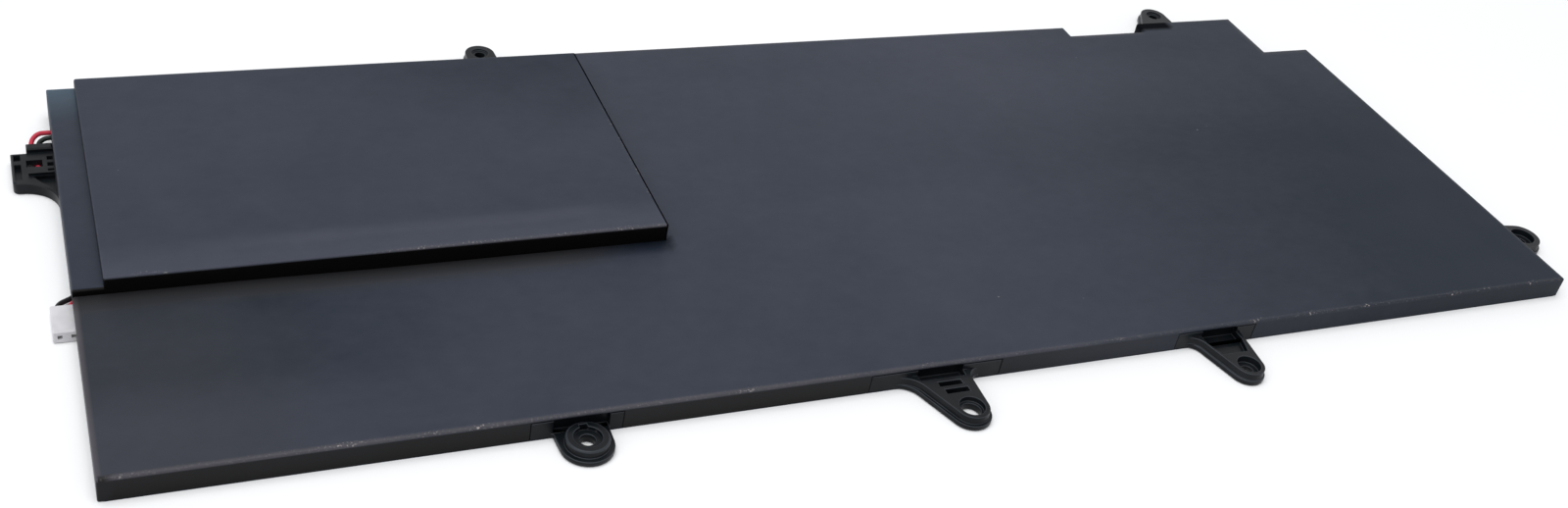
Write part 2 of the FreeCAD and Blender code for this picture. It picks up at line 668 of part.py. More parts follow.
def lug_outline(body, name, lug, level, inset):
    """Foot, tapering arm and round boss of a lug in one loop: lines that run into the boss's arc."""
    sketch = new_sketch(body, name, level)
    low, high, foot = (size[f"{lug}_{word}"] for word in ("root_low", "root_high", "foot"))
    lean, reach = size[f"{lug}_lean"], size[f"{lug}_reach"]
    step = size[f"{lug}_lip"] if inset else 0.0
    boss, web = size[f"{lug}_boss"] - step, size["web_depth"]
    centre = Vector(lean, reach, 0)
    start, end = Vector(lean + boss, reach, 0), Vector(lean - boss, reach, 0)
    corners = [
        Vector(-low + step, 0, 0),
        Vector(-foot, 0, 0),
        Vector(-foot, -web, 0),
        Vector(foot, -web, 0),
        Vector(foot, 0, 0),
        Vector(high - step, 0, 0),
    ]
    path = [end, *corners, start]
    for a, b in zip(path, path[1:]):
        sketch.addGeometry(Part.LineSegment(a, b))
    arc = sketch.addGeometry(Part.ArcOfCircle(Part.Circle(centre, Vector(0, 0, 1), boss), 0, math.pi))
    last = arc - 1
    for i in range(last):
        sketch.addConstraint(Sketcher.Constraint("Coincident", i, 2, i + 1, 1))
    sketch.addConstraint(Sketcher.Constraint("Tangent", last, 2, arc, 1))
    sketch.addConstraint(Sketcher.Constraint("Tangent", arc, 2, 0, 1))
    pin_point(sketch, arc, 3, f"{lug}_lean", f"{lug}_reach")
    held = sketch.addConstraint(Sketcher.Constraint("Radius", arc, boss))
    lip = f"{lug}_lip" if inset else "0"
    sketch.setExpression(f"Constraints[{held}]", bound(f"{lug}_boss - {lip}"))
    places = (
        (f"-{lug}_root_low + {lip}", "0"),
        (f"-{lug}_foot", "0"),
        (f"-{lug}_foot", "-web_depth"),
        (f"{lug}_foot", "-web_depth"),
        (f"{lug}_foot", "0"),
        (f"{lug}_root_high - {lip}", "0"),
    )
    for i, (x, y) in enumerate(places, start=1):
        pin_point(sketch, i, 1, x, y)
    return sketch


def add_lug_body(body, lug):
    """The stepped body on the flange, with its own concave corners at the wall."""
    sketch = lug_outline(body, f"{lug}_upper", lug, "flange_top", True)
    return pad(body, sketch, "lug_top - flange_top")


def add_flares(body, last, lug, step):
    """Concave corners where a lug's arm meets its foot."""
    for side, word in ((-1, "low"), (1, "high")):
        spot = Vector(side * (size[f"{lug}_root_{word}"] - step), 0, 0)
        names = upright_edges(last.Shape, [spot])
        last = round_edges(body, last, names, f"{lug}_flare_{word}")


def make_lug(lug, label, turn, x, y, details):
    """One screw lug, drawn with its wall along x and its boss towards y, then turned to its wall."""
    body = new_body(f"{lug}_lug")
    flange = lug_outline(body, f"{lug}_flange", lug, "base_thick", False)
    pad(body, flange, "flange_top - base_thick")
    foot = new_sketch(body, f"{lug}_foot_plate", "base_thick")
    add_rectangle(foot, f"-{lug}_foot", f"{lug}_foot", "-web_depth", "0")
    last = pad(body, foot, "web_height - base_thick")
    add_flares(body, last, lug, 0.0)
    if lug == "front_left":
        recess = new_sketch(body, f"{lug}_hollow", "web_height")
        add_rectangle(recess, f"-{lug}_root_low", f"{lug}_root_high", "-hollow_depth", "1")
        pocket(body, recess, "web_height - flange_top")
        ring = new_sketch(body, f"{lug}_ring", "flange_top")
        add_circle(ring, f"{lug}_lean", f"{lug}_reach", f"{lug}_boss - {lug}_lip")
        last = pad(body, ring, "lug_top - flange_top")
        names = level_edges(last.Shape, size["lug_top"])
        round_edges(body, last, names, "ring_edge", "Chamfer")
    else:
        last = add_lug_body(body, lug)
        add_flares(body, last, lug, size[f"{lug}_lip"])
    details(body, lug)
    seat = new_sketch(body, f"{lug}_seat_ring", "lug_top")
    add_circle(seat, f"{lug}_lean", f"{lug}_reach", f"{lug}_seat")
    pocket(body, seat, f"{lug}_seat_depth")
    bore = new_sketch(body, f"{lug}_bore_ring", "lug_top")
    add_circle(bore, f"{lug}_lean", f"{lug}_reach", f"{lug}_bore")
    pocket(body, bore, "lug_top")
    body.Label = label
    body.Placement = FreeCAD.Placement(Vector(0, 0, 0), FreeCAD.Rotation(Vector(0, 0, 1), turn))
    body.setExpression(".Placement.Base.x", bound(f"{x} - pack_length / 2"))
    body.setExpression(".Placement.Base.y", bound(f"{y} - pack_depth / 2"))
    sub_parts.append(body)
    return body


def key_slot(body, lug):
    """Small slot behind the seat of the front left lug."""
    slot = new_sketch(body, f"{lug}_key", "lug_top")
    middle, back = f"{lug}_lean", f"{lug}_reach - {lug}_seat - key_length"
    add_rectangle(slot, f"{middle} - key_width / 2", f"{middle} + key_width / 2", back, f"{lug}_reach")
    pocket(body, slot, f"{lug}_seat_depth")


def foot_hollow(body, lug, outwards):
    """Hollow under the film's edge, where the arm leaves its foot."""
    hollow = new_sketch(body, f"{lug}_foot_hollow", "web_height")
    low = f"-{lug}_root_low + {lug}_lip + trough_wall"
    high = f"{lug}_root_high - {lug}_lip - trough_wall"
    add_rectangle(hollow, low, high, "-hollow_depth", outwards)
    pocket(body, hollow, "web_height - flange_top - floor_rise")


def arm_windows(body, lug):
    """Two windows across the front middle arm, with bars between them."""
    foot_hollow(body, lug, "window_start - trough_wall")
    windows = new_sketch(body, f"{lug}_windows", "lug_top")
    for i in range(2):
        middle = f"{lug}_lean + window_shift - {i} * window_slant"
        near = f"window_start + {i} * window_pitch"
        sides = (f"{middle} - window_width / 2", f"{middle} + window_width / 2")
        add_rectangle(windows, *sides, near, f"{near} + window_depth")
    pocket(body, windows, "lug_top - flange_top - floor_rise")


def arm_trough(body, lug):
    """Trough of the front right arm, between side walls and short of the screw seat."""
    foot_hollow(body, lug, "trough_start")
    trough = new_sketch(body, f"{lug}_trough", "lug_top")
    low = f"-{lug}_root_low + {lug}_lip + trough_wall"
    high = f"{lug}_root_high - {lug}_lip - trough_wall"
    far_low = f"{lug}_lean - {lug}_boss + {lug}_lip + trough_wall"
    add_loop(
        trough,
        [
            (low, "trough_start - 0.1"),
            (high, "trough_start - 0.1"),
            (f"{high} - trough_slant", "trough_end"),
            (far_low, "trough_end"),
        ],
    )
    pocket(body, trough, "trough_depth")


def plain_lug(body, lug):
    """The small lugs have nothing but their seat and screw hole."""


def make_lugs():
    make_lug("front_left", "front_lug_left", 180, LUG_PLACES["front_left"], "0", key_slot)
    make_lug("front_middle", "front_lug_middle", 180, LUG_PLACES["front_middle"], "0", arm_windows)
    make_lug("front_right", "front_lug_right", 180, LUG_PLACES["front_right"], "0", arm_trough)
    make_lug("back_left", "back_lug_left", 0, LUG_PLACES["back_left"], "pack_depth", plain_lug)
    make_lug("back_right", "back_lug_right", 0, LUG_PLACES["back_right"], "pack_depth", plain_lug)
    make_lug("right_end", "right_end_lug", -90, "pack_length", LUG_PLACES["right_end"], plain_lug)


# Cells with their pads and tabs


def make_cell(name, x0, x1, y0, y1, level, seal_at_back):
    """A pouch cell: a flat pack with rounded sides and a thin sealed edge at its tabs."""
    body = new_body(name)
    outline = new_sketch(body, f"{name}_outline", level)
    low, high = ("0", "seal_length") if seal_at_back else ("seal_length", "0")
    sides = (f"{x0} + cell_gap", f"{x1} - cell_gap")
    add_rectangle(outline, *sides, f"{y0} + cell_gap + {low}", f"{y1} - cell_gap - {high}")
    last = pad(body, outline, "cell_thick")
    box = last.Shape.BoundBox
    names = level_edges(last.Shape, box.ZMax) + level_edges(last.Shape, box.ZMin)
    last = round_edges(body, last, names, "cell_round")
    seal = new_sketch(body, f"{name}_seal", f"{level} + cell_thick / 2 - seal_thick / 2")
    if seal_at_back:
        ends = (f"{y1} - cell_gap - seal_length - cell_round", f"{y1} - cell_gap")
    else:
        ends = (f"{y0} + cell_gap", f"{y0} + cell_gap + seal_length + cell_round")
    margin = "cell_round"
    add_rectangle(seal, f"{sides[0]} + {margin}", f"{sides[1]} - {margin}", *ends)
    pad(body, seal, "seal_thick")
    return settle(body, name)


FRONT_BAYS = (
    ("front_cell_left", "wall_in", "front_rib"),
    ("front_cell_right", "front_rib_end", "pack_length - wall_in"),
)
BACK_BAYS = (
    ("stack_cell_lower", "stack_start", "stack_end"),
    ("back_cell_middle", "middle_start", "middle_rib"),
    ("back_cell_right", "middle_rib_end", "spacer_wall"),
)


def make_cells():
    pads, tabs = [], []
    for name, x0, x1 in FRONT_BAYS:
        make_cell(name, x0, x1, "wall_in", "front_row_end", "cell_low", True)
        pads.append(cell_pad(name, x0, x1, "wall_in", "front_row_end", "base_thick"))
        tabs += cell_tabs(name, x0, x1, "front_row_end", 1)
    for name, x0, x1 in BACK_BAYS:
        make_cell(name, x0, x1, "back_row", "back_row_end", "cell_low", False)
        pads.append(cell_pad(name, x0, x1, "back_row", "back_row_end", "base_thick"))
        tabs += cell_tabs(name, x0, x1, "back_row", -1)
    stack = ("stack_start", "stack_end", "back_row", "back_row_end")
    make_cell("stack_cell_upper", *stack, "stack_low", False)
    tabs += upper_tabs("stack_start", "stack_end")
    upper_pad = cell_pad("stack_cell_upper", *stack, "cell_high")
    settle(group("under_pads", pads), "cell_pads")
    settle(group("between_pad", [upper_pad]), "stack_pad")
    settle(group("tab_group", tabs), "cell_tabs")


def cell_pad(name, x0, x1, y0, y1, level):
    """Double-sided pad that holds a cell down."""
    sides = (f"{x0} + pad_inset", f"{x1} - pad_inset", f"{y0} + pad_inset", f"{y1} - pad_inset")
    return block(f"{name}_pad", *sides, level, f"{level} + pad_thick")


def cell_tabs(name, x0, x1, wall, way):
    """The two metal tabs of a cell: out of the seal, through the rib and under the bus strips."""
    made = []
    inner = f"{wall} - {way} * (cell_gap + seal_length / 2)"
    outer = f"{wall} + {way} * (rib_thick + channel_width / 2 + strip_width / 2)"
    ends = (inner, outer) if way > 0 else (outer, inner)
    for side, across in enumerate(tab_sides(x0, x1)):
        made.append(block(f"{name}_tab_{side}", *across, *ends, "tab_level", "strip_level"))
    return made


def upper_tabs(x0, x1):
    """The upper stack cell's tabs: out of its seal and down onto the tabs of the cell below it."""
    made = []
    level = "stack_low + cell_thick / 2"
    wall = "back_row + (cell_gap - tab_thick) / 2"
    for side, across in enumerate(tab_sides(x0, x1)):
        over = block(
            f"upper_tab_{side}", *across, wall, "back_row + cell_gap + seal_length / 2",
            f"{level} + seal_thick / 2", f"{level} + seal_thick / 2 + tab_thick",
        )
        down = block(
            f"upper_tab_end_{side}", *across, wall, f"{wall} + tab_thick",
            "strip_level", f"{level} + seal_thick / 2 + tab_thick",
        )
        bent = doc.addObject("Part::MultiFuse", f"bent_tab_{side}")
        bent.Shapes = [over, down]
        made.append(bent)
    return made


def make_bus_strips():
    """Nickel strips in the trough, each over the tabs of two cells, and the link to the board."""
    middle = "(channel_y + row_wall) / 2"
    across = (f"{middle} - strip_width / 2", f"{middle} + strip_width / 2")
    first = tab_sides(*BACK_BAYS[0][1:])
    centre = tab_sides(*BACK_BAYS[1][1:])
    last = tab_sides(*BACK_BAYS[2][1:])
    ends = (
        ("link_at - link_width / 2", first[0][1]),
        (f"{first[0][1]} + strip_width", first[1][1]),
        (f"{first[1][1]} + strip_width", centre[0][1]),
        (f"{centre[0][1]} + strip_width", centre[1][1]),
        (f"{centre[1][1]} + strip_width", last[0][1]),
        (f"{last[0][1]} + strip_width", last[1][1]),
    )
    top = "strip_level + strip_thick"
    strips = [
        block(f"strip_{i}", x0, x1, *across, "strip_level", top) for i, (x0, x1) in enumerate(ends)
    ]
    sides = ("link_at - link_width / 2", "link_at + link_width / 2")
    link = block("board_link", *sides, across[1], "board_front + strip_width", "strip_level", top)
    joined = doc.addObject("Part::MultiFuse", "linked_strip")
    joined.Shapes = [strips[0], link]
    return settle(group("strip_group", [joined, *strips[1:]]), "bus_strips")


# Left end: bracket with its arm and lead clip, board cover and circuit board


def make_bracket():
    """Left end bracket: tray under the circuit board, arm past the slab's end and lead clip."""
    body = new_body("end_bracket")
    arm = new_sketch(body, "arm_outline", "base_thick")
    add_loop(
        arm,
        [
            ("-arm_reach", "arm_front"),
            ("0", "arm_front"),
            ("0", "flare_end"),
            ("bracket_wall", "flare_end"),
            ("bracket_wall", "clip_back"),
            ("-clip_reach", "clip_back"),
            ("-clip_reach", "arm_back"),
            ("-arm_reach", "arm_back"),
        ],
    )
    last = pad(body, arm, "arm_top - base_thick")
    names = upright_edges(last.Shape, corner_points(arm, [1]))
    last = round_edges(body, last, names, "arm_flare")
    names = upright_edges(last.Shape, corner_points(arm, [0]))
    last = round_edges(body, last, names, "arm_corner")
    names = level_edges(last.Shape, last.Shape.BoundBox.ZMax, lambda middle: middle.x < -0.1)
    round_edges(body, last, names, "arm_edge", "Chamfer")
    clip = new_sketch(body, "clip_box", "base_thick")
    add_rectangle(clip, "-clip_reach", "0", "arm_back", "clip_back")
    last = pad(body, clip, "clip_top - base_thick")
    names = level_edges(last.Shape, last.Shape.BoundBox.ZMax)
    round_edges(body, last, names, "arm_edge", "Chamfer")
    crest = new_sketch(body, "crest", "arm_top")
    ends = ("crest_at - crest_width / 2", "crest_at + crest_width / 2")
    add_rectangle(crest, "-clip_reach", "-fit_gap", *ends)
    pad(body, crest, "crest_rise")
    cut_arm(body)
    room = new_sketch(body, "arm_room", "arm_top")
    add_rectangle(room, "0", "bracket_wall + 1", "arm_front - arm_flare - 1", "clip_back + 1")
    pocket(body, room, "arm_top - bracket_low_wall")
    tray = new_sketch(body, "tray", "base_thick")
    add_rectangle(tray, "0", "bay_end", "back_row + fit_gap", "block_back")
    pad(body, tray, "bracket_low_wall - base_thick")
    inside = new_sketch(body, "tray_inside", "bracket_low_wall")
    across = ("bracket_wall", "bay_end - bracket_wall")
    add_rectangle(inside, *across, "back_row + fit_gap + bracket_wall", "block_back - bracket_wall")
    pocket(body, inside, "bracket_low_wall - base_thick - bracket_floor")
    way = new_sketch(body, "lead_way", "bracket_low_wall + 1")
    add_loop(
        way,
        [
            ("-1", "back_row - 1"),
            ("way_end", "back_row - 1"),
            ("way_end", "arm_gate_back"),
            ("0", "arm_gate_back"),
            ("0", "flare_end"),
            ("-1", "flare_end"),
        ],
    )
    pocket(body, way, "bracket_low_wall + 2")
    posts = new_sketch(body, "posts", "base_thick + bracket_floor")
    for x, y in post_places():
        add_circle(posts, x, y, "post_radius")
    pad(body, posts, "board_level - base_thick - bracket_floor")
    return settle(body, "end_bracket")


def post_places():
    """Middles of the posts under the circuit board: one row at the right, two at the back left."""
    right, left = "board_right - post_margin", "board_left + post_margin"
    back = "board_back - post_margin"
    room = size["step_depth"] + size["cover_thick"] + size["board_gap"] + size["post_margin"]
    length = size["pack_depth"] - room - size["block_front"] - size["board_inset"] - size["post_margin"]
    count = int(length / size["post_pitch"]) + 1
    places = [(right, f"{back} - {i} * post_pitch") for i in range(count)]
    return places + [(left, back), (left, f"{back} - post_pitch")]


def cut_arm(body):
    """Window, slots, comb and sunk web in the arm's top, and the way for the leads below it."""
    openings = new_sketch(body, "arm_window", "arm_top")
    add_rectangle(openings, "-window_out", "-window_in", "window_front", "window_back")
    pocket(body, openings, "arm_top")
    slots = new_sketch(body, "arm_slots", "arm_top")
    sides = ("-arm_reach + slot_rim", "-arm_reach + slot_rim + slot_width")
    front = "arm_front + corner_radius"
    add_rectangle(slots, *sides, front, f"{front} + slot_length")
    front = f"{front} + slot_length + slot_width"
    add_rectangle(slots, *sides, front, f"{front} + slot_short")
    for i in range(3):
        front = f"crest_at + crest_width + {i} * comb_pitch"
        add_rectangle(slots, "-comb_width - fit_gap", "-fit_gap", front, f"{front} + comb_gap")
    pocket(body, slots, "slot_depth")
    dip = new_sketch(body, "arm_dip", "arm_top")
    back = "crest_at - crest_width / 2 - dip_rim / 2"
    add_loop(
        dip,
        [
            ("-dip_reach", back),
            ("-dip_reach * 0.75", "arm_front + dip_rim"),
            ("-dip_reach * 0.4", "arm_front - 2 * dip_rim"),
            ("-fit_gap", "arm_front - arm_flare + 5 * dip_rim"),
            ("-fit_gap", back),
        ],
    )
    pocket(body, dip, "dip_depth")
    way = new_sketch(body, "arm_way", "lead_level + lead_radius + lead_clear")
    out, near = "-clip_reach + clip_wall", "-clip_reach + clip_wall + way_width"
    add_loop(
        way,
        [
            (near, "clip_back + 1"),
            (out, "clip_back + 1"),
            (out, "arm_back + clip_wall"),
            ("-window_out", "arm_back - clip_wall"),
            ("-window_out", "arm_back - way_turn"),
            ("0", "arm_gate_front"),
            ("0", "arm_gate_back"),
            (near, "arm_back - way_turn / 8"),
        ],
    )
    pocket(body, way, "lead_level + lead_radius")
    mouth = new_sketch(body, "clip_mouth", "clip_top - clip_roof")
    add_rectangle(mouth, out, near, "arm_back + clip_wall", "clip_back + 1")
    pocket(body, mouth, "clip_top - clip_roof - base_thick")


def make_cover():
    """Board cover: a lid on the bracket's walls whose outer strip stands beside the raised block."""
    body = new_body("board_cover")
    upper = new_sketch(body, "cover_upper", "frame_top")
    add_rectangle(upper, "0", "bay_end", "block_front + film_thick", "block_back")
    last = pad(body, upper, "cover_top - (frame_top)")
    reach = size["board_bay"] / 2
    names = level_edges(last.Shape, last.Shape.BoundBox.ZMax, lambda middle: middle.x < reach + 1)
    round_edges(body, last, names, "block_fold")
    lower = new_sketch(body, "cover_lower", "bracket_low_wall")
    add_rectangle(lower, "0", "bay_end", "back_row + fit_gap", "block_back")
    pad(body, lower, "frame_top - bracket_low_wall")
    skirt = new_sketch(body, "cover_skirt", "base_thick")
    ends = ("low_gate_back", "arm_gate_front - fit_gap")
    add_rectangle(skirt, "0", "cover_thick", *ends)
    pad(body, skirt, "bracket_low_wall - base_thick")
    inside = new_sketch(body, "cover_inside", "cover_top - cover_thick")
    across = ("cover_thick", "bay_end - cover_thick")
    add_rectangle(inside, *across, "back_row + fit_gap + cover_thick", "block_back - cover_thick")
    pocket(body, inside, "cover_top")
    link = new_sketch(body, "link_room", "frame_top")
    sides = ("link_at - link_width / 2 - gate_gap", "link_at + link_width / 2 + gate_gap")
    add_rectangle(link, *sides, "block_front", "back_row + fit_gap + cover_thick + 1")
    pocket(body, link, "cover_top")
    low_gate = new_sketch(body, "low_gate", "low_gate_top")
    sides = ("-1", "plug_width - plug_left + fit_gap")
    add_rectangle(low_gate, *sides, "back_row", "low_gate_back - cover_thick")
    pocket(body, low_gate, "low_gate_top - bracket_low_wall")
    gate = new_sketch(body, "lead_gate", "lead_gate_high")
    add_rectangle(gate, "-1", "cover_thick + 1", "lead_gate_front", "lead_gate_back")
    pocket(body, gate, "lead_gate_high - lead_gate_low")
    return settle(body, "board_cover")


def make_board():
    """Circuit board on the bracket's posts, with the parts soldered to it."""
    body = new_body("circuit_board")
    outline = new_sketch(body, "board_outline", "board_level")
    add_rectangle(outline, "board_left", "board_right", "board_front", "board_back")
    last = pad(body, outline, "board_thick")
    names = upright_edges(last.Shape, corner_points(outline, range(4)))
    round_edges(body, last, names, "board_gap")
    settle(body, "circuit_board")
    mount_part("gauge_chip", "chip", [("board_middle", along_board("chip"))], "chip_size")
    switches = [
        (f"board_middle + {i} * switch_pitch / 2", f"{along_board('switch')} + {j} * switch_pitch")
        for j in range(2)
        for i in (-1, 1)
    ]
    mount_part("switch_transistors", "switch", switches, "switch_length")
    mount_part("sense_resistor", "shunt", [("board_middle", along_board("shunt"))], "shunt_width")
    mount_part("chip_fuse", "fuse", [("board_middle", along_board("fuse"))], "fuse_width")
    rows = [("board_left + small_pitch", i) for i in range(4)]
    rows += [("board_right - small_pitch", i) for i in range(4)]
    places = [(x, f"{along_board('capacitor')} + {i} * small_pitch") for x, i in rows]
    mount_part("capacitors", "small", places, "small_width")
    places = [(x, f"{along_board('resistor')} + {i} * small_pitch") for x, i in rows]
    mount_part("resistors", "small", places, "small_width")
    sensor = block(
        "sensor_body", "middle_start + pad_inset", "middle_start + pad_inset + sensor_length",
        "back_row + pad_inset", "back_row + pad_inset + sensor_width",
        "cell_high", "cell_high + sensor_thick",
    )
    settle(group("sensor_group", [sensor]), "temperature_sensor")


def along_board(word):
    """Where the first part of a kind stands along the board."""
    return f"(board_front + {BOARD_SHARES[word]} * (board_back - board_front))"


def mount_part(label, word, places, width):
    """Flat parts of one kind, each standing on the board about its middle."""
    length = "chip_size" if word == "chip" else f"{word}_length"
    top = "strip_level"
    made = []
    for i, (x, y) in enumerate(places):
        sides = (f"{x} - {width} / 2", f"{x} + {width} / 2")
        ends = (f"{y} - {length} / 2", f"{y} + {length} / 2")
        made.append(block(f"{label}_{i}", *sides, *ends, top, f"{top} + {word}_thick"))
    return settle(group(f"{label}_group", made), label)


# Leads and plug


def rounded_route(points):
    """Straight runs through the points, joined by the largest tangent arcs that the runs allow."""
    edges, radii, start = [], [], points[0]
    for before, here, after in zip(points, points[1:], points[2:]):
        back, ahead = (before - here), (after - here)
        run = min(back.Length, ahead.Length)
        turn = math.pi - back.getAngle(ahead)
        if turn < 1e-3:
            continue
        back.normalize()
        ahead.normalize()
        cut = ARC_SHARE * run
        radius = cut / math.tan(turn / 2)
        first, last = here + back * cut, here + ahead * cut
        inwards = back + ahead
        inwards.normalize()
        middle = here + inwards * (radius / math.cos(turn / 2) - radius)
        edges.append(Part.LineSegment(start, first).toShape())
        edges.append(Part.Arc(first, middle, last).toShape())
        radii.append(round(radius, 2))
        start = last
    edges.append(Part.LineSegment(start, points[-1]).toShape())
    return Part.Wire(edges), radii


def tube(points, radius):
    """A round lead along a rounded route, with its volume compared with section times length."""
    path, radii = rounded_route(points)
    along = points[1] - points[0]
    ring = Part.Wire(Part.Circle(points[0], along, radius).toShape())
    solid = path.makePipe(Part.Face(ring))
    wanted = math.pi * radius**2 * path.Length
    if abs(solid.Volume - wanted) > 0.02 * wanted:
        raise ValueError(f"a lead has volume {solid.Volume:.2f}, not {wanted:.2f}")
    print(f"lead of {path.Length:.1f} mm, arcs of {radii} mm")
    return solid


def lead_feature(label, solids):
    """A lead or a pair of leads as one piece, moved to the model's origin as the others are."""
    thing = doc.addObject("Part::Feature", f"{label}_solid")
    thing.Shape = solids[0] if len(solids) == 1 else Part.Compound(solids)
    return settle(thing, label)


def place_of(x, y, z):
    """A point from formulas, read from the sheet's numbers through a throwaway placement."""
    probe = doc.addObject("Part::Feature", "probe")
    for axis, text in (("x", x), ("y", y), ("z", z)):
        probe.setExpression(f".Placement.Base.{axis}", bound(text))
    doc.recompute()
    point = Vector(probe.Placement.Base)
    doc.removeObject(probe.Name)
    return point


def inside_x(index):
    """Middle of a lead where it runs in the bracket, counted from the outermost."""
    return f"bracket_wall + lead_clear + lead_radius + {index} * lead_pitch"


def lead_tail(index):
    """The last stretch of a lead: along its way in the bracket and out to the plug."""
    inside, shift = inside_x(index), f"{index} * lead_stagger"
    outside = f"plug_middle + ({index} - 1) * plug_pitch"
    return [
        (inside, f"plug_back + lead_bend - {shift}", "lead_level"),
        (outside, "plug_back + 3 * lead_radius", "pole_level"),
        (outside, "plug_back - contact_back", "pole_level"),
    ]


def power_lead(index, solder_y):
    """A power lead: off the board, out through the cover, into the clip and under the arm."""
    out = f"-clip_reach + clip_wall + lead_clear + lead_radius + {index} * lead_pitch"
    inside, shift = inside_x(index + 1), f"{index} * lead_stagger / 2"
    above = "strip_level + lead_radius"
    texts = [
        ("board_left + 2.6", solder_y, above),
        ("board_left + 0.6", solder_y, f"{above} + lead_clear"),
        (f"{out} + 1.3", f"{solder_y} - 0.1", f"{above} + lead_radius / 2"),
        (f"{out} + 0.1", f"(({solder_y}) + clip_back) / 2 + 0.2", f"{above} - lead_radius"),
        (out, "clip_back - 0.4", "lead_level + lead_radius / 2"),
        (f"{out} + lead_slant / 3", "arm_back + clip_wall / 2", "lead_level"),
        (f"{out} + lead_slant", f"window_back - 1 + {shift}", "lead_level"),
        (inside, f"arm_gate_front - 0.8 + {shift}", "lead_level"),
        (inside, "arm_gate_front - 8", "lead_level"),
    ]
    return [place_of(*text) for text in texts + lead_tail(index + 1)]


def signal_lead():
    """The signal lead: from the underside of the board straight into its way."""
    inside = inside_x(0)
    texts = [
        (inside, "arm_gate_front - 9", "board_level - lead_radius"),
        (inside, "arm_gate_front - 12", "lead_level + lead_clear"),
        (inside, "arm_gate_front - 15", "lead_level"),
    ]
    return [place_of(*text) for text in texts + lead_tail(0)]


def make_leads():
    radius = size["lead_radius"]
    red = power_lead(0, "lead_gate_back - 2 * lead_radius")
    black = power_lead(1, "lead_gate_front + 2 * lead_radius")
    lead_feature("lead_red", [tube(red, radius)])
    lead_feature("lead_black", [tube(black, radius)])
    lead_feature("signal_leads", [tube(signal_lead(), radius)])


def make_plug():
    """Plug at the end of the leads, with a square way and a round entry for each contact."""
    body = new_body("plug_block")
    outline = new_sketch(body, "plug_outline", "base_thick")
    add_rectangle(outline, "-plug_left", "plug_width - plug_left", "plug_front", "plug_back")
    last = pad(body, outline, "plug_height")
    box = last.Shape.BoundBox
    names = level_edges(last.Shape, box.ZMax) + upright_edges(
        last.Shape, corner_points(outline, range(4))
    )
    round_edges(body, last, names, "plug_edge")
    ways, contacts = [], []
    for i in range(3):
        middle = f"plug_middle + ({i} - 1) * plug_pitch"
        for made, width, front, back in (
            (ways, "pole_size", "plug_front - 1", "plug_back - 1"),
            (contacts, "contact_size", "plug_front + contact_front", "plug_back - contact_back"),
        ):
            sides = (f"{middle} - {width} / 2", f"{middle} + {width} / 2")
            levels = (f"pole_level - {width} / 2", f"pole_level + {width} / 2")
            made.append(block(f"plug_{width}_{i}", *sides, front, back, *levels))
        entry = doc.addObject("Part::Cylinder", f"plug_entry_{i}")
        turn = FreeCAD.Rotation(Vector(1, 0, 0), -90)
        entry.Placement = FreeCAD.Placement(Vector(0, 0, 0), turn)
        bind(entry, Radius="entry_radius", Height="contact_back + 1")
        for axis, text in (("x", middle), ("y", "plug_back - contact_back"), ("z", "pole_level")):
            entry.setExpression(f".Placement.Base.{axis}", bound(text))
        ways.append(entry)
    housing = doc.addObject("Part::Cut", "plug_cut")
    housing.Base = body
    housing.Tool = group("plug_ways", ways)
    settle(housing, "plug_housing")
    settle(group("contact_group", contacts), "plug_contacts")


def build():
    make_frame()
    make_slab_film()
    make_base_film()
    make_block_film()
    make_lugs()
    make_cells()
    make_bus_strips()
    make_bracket()
    make_cover()
    make_board()
    make_leads()
    make_plug()


def check_and_write():
    """Stop on any failed object, then write one STEP file for each piece."""
    doc.recompute()
    for thing in doc.Objects:
        if "Invalid" in thing.State or "Error" in thing.State:
            raise ValueError(f"{thing.Label} failed: {thing.State}")
    os.makedirs("parts", exist_ok=True)
    for piece in sub_parts:
        if piece.Shape.isNull() or not piece.Shape.isValid():
            raise ValueError(f"{piece.Label} has no valid shape")
        piece.Shape.exportStep(os.path.join("parts", f"{piece.Label}.step"))
        box = piece.Shape.BoundBox
        print(
            f"{piece.Label:20s} {len(piece.Shape.Solids):3d} solids "
            f"{box.XLength:7.2f} {box.YLength:7.2f} {box.ZLength:6.2f} z from {box.ZMin:5.2f}"
        )


build()
check_and_write()
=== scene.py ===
# %% [markdown]
# Thin laptop battery pack
#
# The pack is a flat slab of pouch cells in a plastic frame, wrapped in dark film, with a raised block
# over the stacked cells. Screw lugs stand out round its edges, and a bracket at the left end holds the
# leads that run to a white plug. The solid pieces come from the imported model. This script gives them
# their finish, and models the wrapping film anew, because real film is never quite flat.

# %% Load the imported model
import json
import math

import bmesh
import bpy
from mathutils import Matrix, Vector, noise


